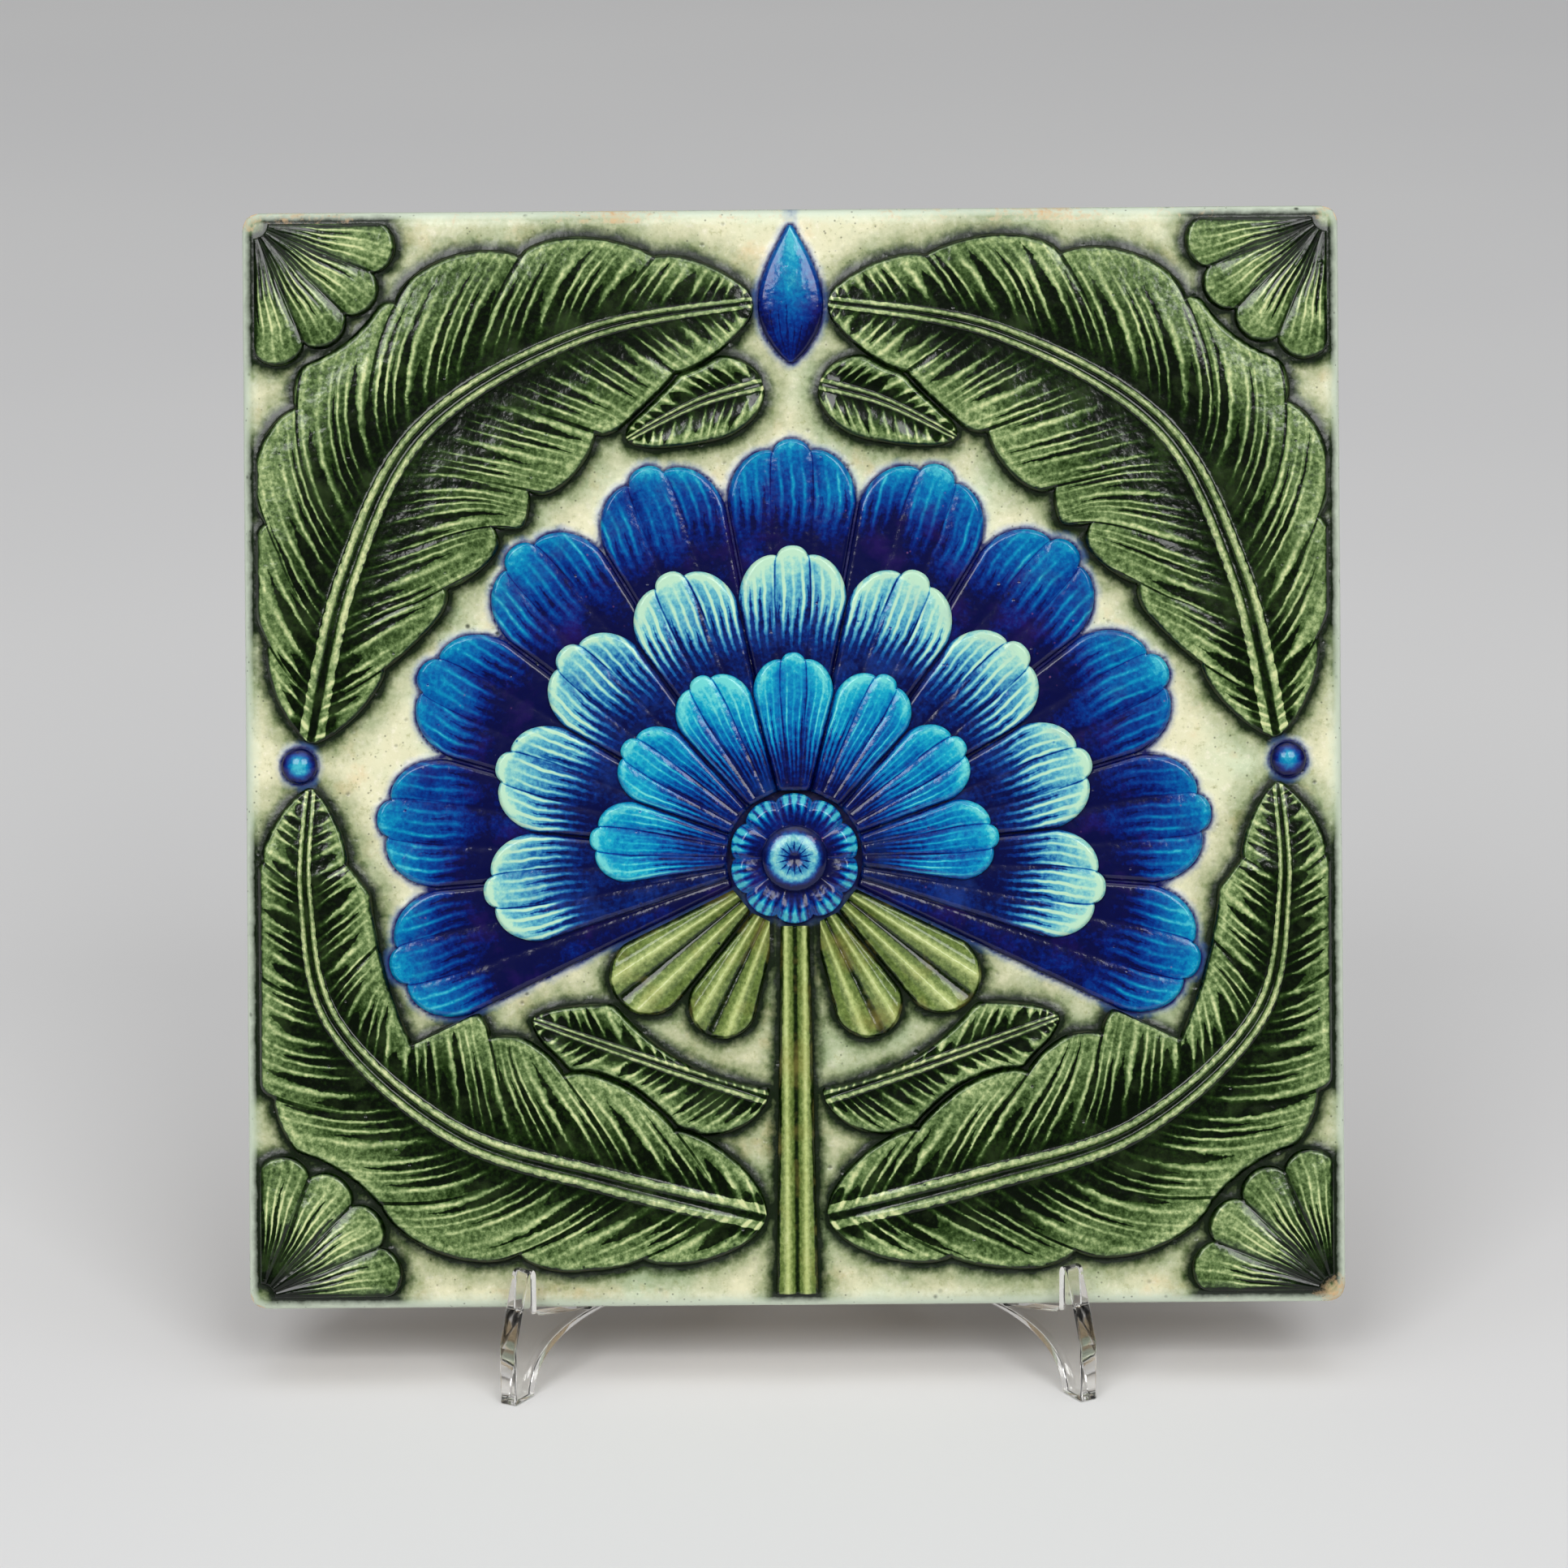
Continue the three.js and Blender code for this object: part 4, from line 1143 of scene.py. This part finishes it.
def groundPiece():
    roll = ground["roll"]
    skin = ground["skin"]
    half = ground["side"] - roll
    line = np.linspace(-half, half, int(2 * half / ground["step"]) + 1)
    x, y, outward, border = roundedGrid((line, line), half, ground["cornerRadius"] - roll)
    green = nearestAway(x, y, "green")
    blue = nearestAway(x, y, "blue")
    underPetals = roundRoom(focus, petalGrid(blossom["radius"], outerPitch)[4], 0, fanEdge - 2)
    blue = np.where(underPetals(x, y), 0, blue)
    ripple = np.sin(x * 0.9 + 1.3 * np.sin(y * 0.31)) * np.sin(y * 0.8 + 1.1 * np.sin(x * 0.27))
    z = tile["groundLevel"] + ground["ripple"] * ripple * softStep(0, 3, border)
    z = z + ground["meniscus"] * hump(np.minimum(green, blue), 0.7)
    bare = softStep(half - 0.7, half, y) * (0.35 + 0.3 * sway(x, 4))
    for (spotX, spotY), reach in bareSpots:
        bare = highest(bare, hump(np.hypot(x - spotX, y - spotY), reach), 0)
    top, quads, rim, way, along, seed = sheetOf(x, y, z, outward)
    fields = {"greenAway": green, "blueAway": blue, "borderAway": border + roll, "bare": bare}
    fields = {key: values.reshape(-1) for key, values in fields.items()}
    run = between(ground["shortRun"], ground["longRun"], limited(0.5 + 0.6 * sway(along, seed)) ** 2)

    def ring(out, drop, border=0.0):
        moved = top[rim]
        moved[:, :2] += way * out
        moved[:, 2] -= drop
        return {"points": moved, "borderAway": np.full(len(rim), border)}

    rings = []
    # Over the rolled edge the distance to the border falls to nothing, which gives it the pale edge tone:
    # thin glaze and a painted highlight.
    for turn in np.radians([18, 36, 54, 72, 90]):
        rings.append(ring(roll * math.sin(turn), roll * (1 - math.cos(turn)), roll * (1 - math.sin(turn))))
    rings += [ring(roll, roll + run * share) for share in (0.4, 0.75, 0.95)]
    rings += [ring(roll - inset, roll + run) for inset in (0.05, skin)]
    end = ring(roll - skin, 0.0)
    end["points"][:, 2] = tile["groundLevel"] - roll - ground["longRun"] - skin
    points, faces, closed = closeDown(top, quads, rim, fields, rings + [end])
    addPiece("ground_glaze_skin", toWorld(points), faces, closed, "ground_glaze", "tile", "ground_glaze")


groundPiece()
print("ground glaze made")

# The clay slab, pressed in a mould that left keying pockets in its back.
slab = {
    "side": 76.1,
    "cornerRadius": 2.2,
    "edgeRound": 0.8,
    "step": 1.3,
    "pocketRows": 7,
    "pocketHeight": 9,
    "pocketDepth": 1.3,
    "pocketMargin": 14,
    "draft": 0.7,
    "unevenness": 0.06,
    "front": 8.45,
    "edgeDents": 0.08,
    "sideDents": 0.05,
}
# Small chips along the edges of the back: side, place along it, width and depth.
chips = [(0, -38, 1.6, 0.5), (0, 51, 2.4, 0.7), (1, 12, 1.8, 0.5), (2, -60, 2.2, 0.8), (2, 22, 1.2, 0.4),
         (3, 44, 2.0, 0.6), (3, -20, 1.4, 0.4)]


def featureLine(half, features):
    # Grid lines across the slab, closer together at each feature and at both edges.
    steps = np.array([0.12, 0.35, 0.6, 0.9])
    edges = half - np.array([0.3, 0.7, 1.2])
    line = [np.linspace(-half, half, int(2 * half / slab["step"]) + 1), edges, -edges]
    for feature in features:
        line += [feature - steps, feature + steps]
    merged = np.sort(np.concatenate(line))
    return merged[np.concatenate([[True], np.diff(merged) > 0.08])]


def slabPiece():
    edge = slab["edgeRound"]
    front = slab["front"]
    half = slab["side"] - edge
    span = halfTile - slab["pocketMargin"]
    halfPocket = slab["pocketHeight"] / 2
    rows = np.linspace(halfPocket - span, span - halfPocket, slab["pocketRows"])
    rowEdges = np.concatenate([rows - halfPocket, rows + halfPocket])
    lines = (featureLine(half, [-span, span]), featureLine(half, rowEdges))
    x, y, outward, border = roundedGrid(lines, half, slab["cornerRadius"] - edge)
    inSpan = softStep(0, slab["draft"], span - np.abs(x))
    inRow = highest(*[softStep(0, slab["draft"], halfPocket - np.abs(y - row)) for row in rows])
    uneven = 0.5 + 0.5 * np.sin(x * 0.13 + 2 * np.sin(y * 0.07)) * np.sin(y * 0.11 + 1.7 * np.sin(x * 0.05))
    z = slab["pocketDepth"] * inSpan * inRow + slab["unevenness"] * uneven * softStep(0, 4, border)
    for side, place, width, depth in chips:
        across = [y, x, y, x][side]
        toEdge = [half - x, half - y, half + x, half + y][side]
        z = z + depth * hump(across - place, width) * hump(toEdge, 0.8 * width)
    back, quads, rim, way, along, seed = sheetOf(x, y, z, outward)

    # The grid is the back here, so its faces and its rim turn the other way.
    order = np.concatenate([[0], np.arange(len(rim) - 1, 0, -1)])
    rings = []

    def addRing(out, height, lift=0):
        moved = back[rim]
        moved[:, :2] += way * (out + 0 * along)[:, None]
        moved[:, 2] = height + lift * moved[:, 2]
        rings.append({"points": moved[order]})

    edgeDent = slab["edgeDents"] * (0.5 + 0.5 * sway(along, seed + 1))
    for turn in np.radians([22, 45, 68, 90]):
        addRing((edge - edgeDent) * math.sin(turn), edge * (1 - math.cos(turn)), math.cos(turn))
    for height in np.linspace(edge + 0.6, front - edge, 9):
        dent = slab["sideDents"] * (0.5 + 0.5 * sway(along * (1 + 0.1 * height), seed + height))
        addRing(edge - dent, height)
    for turn in np.radians([30, 60, 90]):
        addRing(edge * math.cos(turn), front - edge * (1 - math.sin(turn)))
    points, faces, closed = closeDown(back, quads[:, ::-1], rim[order], {}, rings)
    addPiece("tile_body_clay", toWorld(points), faces, closed, "biscuit", "tile", "tile_body")


slabPiece()
print("slab made")

# The clear stand: two flat halves that meet on an upright pin at the back.
stand = {
    "thickness": 2.7,
    "reach": 75.8,
    "openAngle": 30.8,
    "foldGap": 0.15,
    "lipSetback": 5.7,
    "lipTop": 18.4,
    "legBend": 8,
    "legDepth": 4.6,
    "archHeight": 7.3,
    "archBend": 17,
    "archSlope": 1,
    "rearFootDepth": 11,
    "restTop": 70,
    "restTipWidth": 4.4,
    "braceSag": 11,
    "notchRound": 0.8,
    "hingeHeight": 30,
    "knuckleRadius": 3.6,
    "knuckleFloor": 2.2,
    "knuckleGap": 0.3,
    "knucklePolish": 0.2,
    "strapOverlap": 0.5,
    "boreOverrun": 5,
    "borePolish": 0.1,
    "pinRadius": 1.2,
    "pinClearance": 0.12,
    "pinHeadRadius": 2.3,
    "pinHeadHeight": 0.7,
    "tileRestHeight": 9,
    "tileGap": 0.3,
    "polish": 0.28,
    "flatFrom": 12e-6,
}
openAngle = math.radians(stand["openAngle"])
forward = math.cos(openAngle)
sideways = math.sin(openAngle)
slope = math.tan(lean)
outerFace = stand["thickness"] + stand["foldGap"]
pinY = (stand["reach"] * forward - stand["foldGap"] * sideways - stand["knuckleRadius"]) / 2
lipInner = stand["reach"] - stand["lipSetback"]
reliefDepth = reliefLevel + leafSize["thickness"]
reliefFootY = reliefDepth * math.cos(lean) - tile["faceMargin"] * math.sin(lean)
tileBackY = pinY - lipInner * forward + outerFace * sideways + stand["tileGap"] + reliefFootY


def lipFront(height):
    return stand["reach"] - max(height - stand["legBend"], 0) * slope / forward


def ledgeHeight(reach):
    y = pinY - reach * forward + outerFace * sideways
    return stand["tileRestHeight"] + (tileBackY - y) * slope - stand["tileGap"]


def restReach(height):
    tileBack = tileBackY + (height - stand["tileRestHeight"]) * slope + stand["tileGap"]
    return (pinY + stand["foldGap"] * sideways - tileBack) / forward


def halfRound(x, y, radius):
    turns = np.radians(np.linspace(0, 180, 21))
    return [(x + radius * math.cos(turn), y + radius * math.sin(turn)) for turn in turns]


def bend(start, middle, end, steps):
    # A curve from start to end, drawn towards the middle point.
    start, middle, end = np.array([start, middle, end])
    shares = np.linspace(0, 1, steps + 1)
    return [tuple((1 - t) ** 2 * start + 2 * t * (1 - t) * middle + t * t * end) for t in shares]


def standOutline():
    # One half in its own plane: the distance from the pin, and the height.
    reach = stand["reach"]
    inner = stand["knuckleRadius"] + stand["knuckleGap"]
    rearFoot = inner + stand["rearFootDepth"]
    legBack = reach - stand["legDepth"]
    arch = stand["archHeight"]
    archBend = stand["archBend"]
    archSlope = stand["archSlope"]
    lipRound = (lipFront(stand["lipTop"]) - lipInner) / 2
    notch = stand["notchRound"]

    # The rest's foot is where its slope meets the ledge. Each try brings the height closer to it.
    height = stand["tileRestHeight"]
    for _ in range(20):
        height = ledgeHeight(restReach(height))
    cornerReach = restReach(height)
    restRound = stand["restTipWidth"] / 2
    tipHeight = stand["restTop"] - restRound
    restTip = restReach(tipHeight)
    sag = stand["braceSag"]
    brace = ((restTip + inner) / 2 + sag / 2, (stand["restTop"] + stand["hingeHeight"]) / 2 - sag)

    def ledge(place):
        return place, ledgeHeight(place)

    outline = [(inner, 0)]
    outline += bend((rearFoot, 0), (rearFoot + archSlope, arch), (rearFoot + archBend, arch), 22)
    outline += bend((legBack - archBend, arch), (legBack - archSlope, arch), (legBack, 0), 22)
    outline += [(reach, 0), (reach, stand["legBend"])]
    outline += halfRound(lipInner + lipRound, stand["lipTop"] - lipRound, lipRound)
    outline += bend((lipInner, ledgeHeight(lipInner) + notch), ledge(lipInner), ledge(lipInner - notch), 5)
    restFoot = (restReach(height + notch), height + notch)
    outline += bend(ledge(cornerReach + notch), (cornerReach, height), restFoot, 5)
    outline += halfRound(restTip - restRound, tipHeight, restRound)
    outline += bend((restTip - 2 * restRound, tipHeight), brace, (inner, stand["hingeHeight"]), 30)[1:]
    return np.array(outline)


def quarterRound(radius, steps):
    # How far an edge rounded to a radius lies in and up at each step.
    turns = np.radians(np.linspace(0, 90, steps + 1))
    return [(radius * (1 - math.sin(turn)), radius * (1 - math.cos(turn))) for turn in turns]


def ringStack(index):
    # The walls of a stack of rings that goes up.
    return [face for below, above in zip(index, index[1:]) for face in ringWalls(above, below)]


def polishedPlate(outline, low, high):
    # A plate between two levels, with its edges rounded by polishing.
    ahead = np.roll(outline, -1, axis=0) - outline
    ahead = ahead / np.linalg.norm(ahead, axis=1)[:, None]
    normal = np.stack([ahead[:, 1], -ahead[:, 0]], -1)
    out = normal + np.roll(normal, 1, axis=0)
    out = out / np.maximum((out * normal).sum(axis=1), 0.6)[:, None]
    rings = [(inset, low + rise) for inset, rise in quarterRound(stand["polish"], 4)]
    rings += [(inset, low + high - level) for inset, level in rings[::-1]]
    count = len(outline)
    points = [np.column_stack([outline - out * inset, np.full(count, level)]) for inset, level in rings]
    index = np.arange(len(rings) * count).reshape(len(rings), -1)
    return np.concatenate(points), ringStack(index) + [index[0, ::-1].tolist(), index[-1].tolist()]


def turnedBarrel(profile, sides=48):
    # A closed round piece about the pin, from pairs of a radius and a height. It starts and ends
    # on the pin's axis.
    profile = np.array(profile)
    middle = profile[1:-1]
    turn = np.arange(sides) * 2 * math.pi / sides
    radius = middle[:, 0:1]
    height = np.repeat(middle[:, 1:2], sides, axis=1)
    points = np.stack([radius * np.cos(turn), height, -radius * np.sin(turn)], -1).reshape(-1, 3)
    points = np.concatenate([points, [[0, profile[0, 1], 0], [0, profile[-1, 1], 0]]])
    index = np.arange(len(middle) * sides).reshape(-1, sides)
    bottom = len(points) - 2
    faces = ringStack(index)
    faces += [[bottom, b, a] for a, b in zip(index[0], np.roll(index[0], -1))]
    faces += [[bottom + 1, a, b] for a, b in zip(index[-1], np.roll(index[-1], -1))]
    return points, faces


def roundedCylinder(radius, low, high, polish):
    lower = [(radius - inset, low + rise) for inset, rise in quarterRound(polish, 3)]
    upper = [(r, low + high - y) for r, y in lower[::-1]]
    return turnedBarrel([(0, low)] + lower + upper + [(0, high)])


def combined(shape, steps):
    # Joins further shapes to the first one and cuts others from it.
    base = addMesh("worked", *shape)
    used = [base]
    for operation, other in steps:
        used.append(addMesh("worked", *other))
        modifier = base.modifiers.new("work", "BOOLEAN")
        modifier.operation = operation
        modifier.solver = "EXACT"
        modifier.object = used[-1]
    evaluated = base.evaluated_get(bpy.context.evaluated_depsgraph_get())
    mesh = evaluated.to_mesh()
    points = np.array([tuple(vertex.co) for vertex in mesh.vertices])
    faces = [list(polygon.vertices) for polygon in mesh.polygons]
    evaluated.to_mesh_clear()
    for piece in used:
        bpy.data.objects.remove(piece)
    return points, faces


def addStandPiece(node, points, faces, side, body):
    # Places a piece from a half's own plane in the shared frame.
    outward = np.array([side * sideways, -forward, 0])
    up = np.array([0.0, 0.0, 1.0])
    local = points * millimetre
    placed = np.array([0, pinY * millimetre, 0]) + local[:, 0:1] * outward + local[:, 1:2] * up
    placed = placed + local[:, 2:3] * np.cross(outward, up)
    return addPiece(node + "_clear", placed, faces, {}, "clear_plastic", body, node)


knuckleTop = stand["hingeHeight"] - stand["pinHeadHeight"] - stand["knuckleGap"]
knuckleLength = (knuckleTop - stand["knuckleFloor"] - 2 * stand["knuckleGap"]) / 3
knuckleFloors = [stand["knuckleFloor"] + k * (knuckleLength + stand["knuckleGap"]) for k in range(3)]
knuckles = {"left": knuckleFloors[::2], "right": knuckleFloors[1:2]}


def standPiece(sideName, side):
    low = stand["foldGap"] if side < 0 else -outerFace
    high = low + stand["thickness"]
    strapReach = stand["knuckleRadius"] + stand["knuckleGap"] + stand["strapOverlap"]
    steps = []
    for bottom in knuckles[sideName]:
        top = bottom + knuckleLength
        strap = np.array([(0, bottom), (strapReach, bottom), (strapReach, top), (0, top)])
        knuckle = roundedCylinder(stand["knuckleRadius"], bottom, top, stand["knucklePolish"])
        steps += [("UNION", polishedPlate(strap, low, high)), ("UNION", knuckle)]
    bore = stand["pinRadius"] + stand["pinClearance"]
    over = stand["boreOverrun"]
    hole = roundedCylinder(bore, -over, stand["hingeHeight"] + over, stand["borePolish"])
    steps.append(("DIFFERENCE", hole))
    shape = combined(polishedPlate(standOutline(), low, high), steps)
    name = f"stand_{sideName}"
    piece = addStandPiece(name, *shape, side, name)
    for polygon in piece.data.polygons:
        polygon.use_smooth = polygon.area < stand["flatFrom"]


def pinPiece():
    low = stand["knuckleFloor"] - 0.5 * stand["knuckleGap"]
    high = knuckleTop + 0.5 * stand["knuckleGap"]
    head = stand["pinHeadRadius"]
    rise = stand["pinHeadHeight"]
    rounded = [(head * math.cos(turn), rise * math.sin(turn)) for turn in np.radians(np.linspace(0, 85, 7))]
    profile = [(0, low - rise)]
    profile += [(radius, low - height) for radius, height in rounded[::-1]]
    profile += [(stand["pinRadius"], low), (stand["pinRadius"], high)]
    profile += [(radius, high + height) for radius, height in rounded]
    profile += [(0, high + rise)]
    addStandPiece("hinge_pin", *turnedBarrel(profile), -1, "stand_left")


standPiece("left", -1)
standPiece("right", 1)
pinPiece()
print("stand made")

# The room: a pale floor, soft light and the camera.
room = {
    "floorSize": 12.0,
    "floorDrop": 0.00015,
    "floorTones": tones((0.3, 229, 229, 230), (0.7, 233, 233, 233)),
    "horizonLight": 0.09,
    "zenithLight": 1.8,
    "backdrop": paint(196, 195, 194),
}
scene = bpy.context.scene


def floorFinish():
    finish = Finish(bpy.data.materials.new("paleFloor"))
    tone = finish.ramp(finish.noise(3), room["floorTones"])
    return finish.surface({"Base Color": tone, "Roughness": 0.6, "Specular IOR Level": 0.25})


floorCorners = np.array([(-1, -1, 0), (1, -1, 0), (1, 1, 0), (-1, 1, 0)]) * room["floorSize"]
floor = addMesh("floor", floorCorners - [0, 0, room["floorDrop"]], [(0, 1, 2, 3)])
floor.data.materials.append(floorFinish())


def makeWorld():
    # Light from above and in front, while the camera sees an even backdrop.
    scene.world = bpy.data.worlds.new("studio")
    studio = Finish(scene.world)
    direction = studio.node("ShaderNodeTexCoord").outputs["Generated"]
    parts = studio.node("ShaderNodeSeparateXYZ", None, {0: direction}).outputs
    upward = Level(studio, parts["Z"]).limited()
    facing = (0.5 - Level(studio, parts["Y"]) * 0.9).limited()
    strength = upward**3 * facing * room["zenithLight"] + room["horizonLight"]
    light = studio.node("ShaderNodeBackground", None, {"Color": (1, 1, 1, 1), "Strength": strength})
    seen = studio.node("ShaderNodeBackground", None, {"Color": room["backdrop"]})
    path = studio.node("ShaderNodeLightPath").outputs
    straight = Level(studio, path["Is Camera Ray"]).most(Level(studio, path["Is Transmission Ray"]))
    sockets = {0: straight, 1: light.outputs[0], 2: seen.outputs[0]}
    mixed = studio.node("ShaderNodeMixShader", None, sockets)
    studio.node("ShaderNodeOutputWorld", None, {"Surface": mixed.outputs[0]})


makeWorld()

lamps = [
    {"name": "leftSoftbox", "azimuth": -20, "elevation": 33, "distance": 2.4, "size": 0.95, "power": 20.5},
    {"name": "rightSoftbox", "azimuth": 20, "elevation": 33, "distance": 2.4, "size": 0.95, "power": 20.5},
    {"name": "overheadSoftbox", "azimuth": 30, "elevation": 80, "distance": 1.6, "size": 1.2, "power": 2.5},
]
for lamp in lamps:
    light = bpy.data.lights.new(lamp["name"], "AREA")
    light.shape = "SQUARE"
    light.size = lamp["size"]
    light.energy = lamp["power"]
    softbox = addObject(lamp["name"], light)
    azimuth = math.radians(lamp["azimuth"])
    elevation = math.radians(lamp["elevation"])
    level = math.cos(elevation)
    away = Vector((math.sin(azimuth) * level, -math.cos(azimuth) * level, math.sin(elevation)))
    softbox.location = Vector(slabMiddle) + away * lamp["distance"]
    softbox.rotation_euler = away.to_track_quat("Z", "Y").to_euler()

# The camera stands square to the tile's face, with a slight roll.
view = {"distance": 0.9, "focal": 148.9, "sensor": 36.0, "aim": (-1.38, -3.72), "roll": 0.42}
camera = addObject("camera", bpy.data.cameras.new("camera"))
camera.data.lens = view["focal"]
camera.data.sensor_width = view["sensor"]
roll = math.radians(view["roll"])
cameraRight = rightward * math.cos(roll) - upFace * math.sin(roll)
cameraUp = upFace * math.cos(roll) + rightward * math.sin(roll)
position = toWorld([(*view["aim"], tile["groundLevel"])])[0] + outOfFace * view["distance"]
columns = np.column_stack([cameraRight, cameraUp, outOfFace, position])
camera.matrix_world = Matrix([*columns.tolist(), [0, 0, 0, 1]])
scene.camera = camera
scene.view_settings.view_transform = "Standard"
print("room made")

bpy.context.view_layer.update()
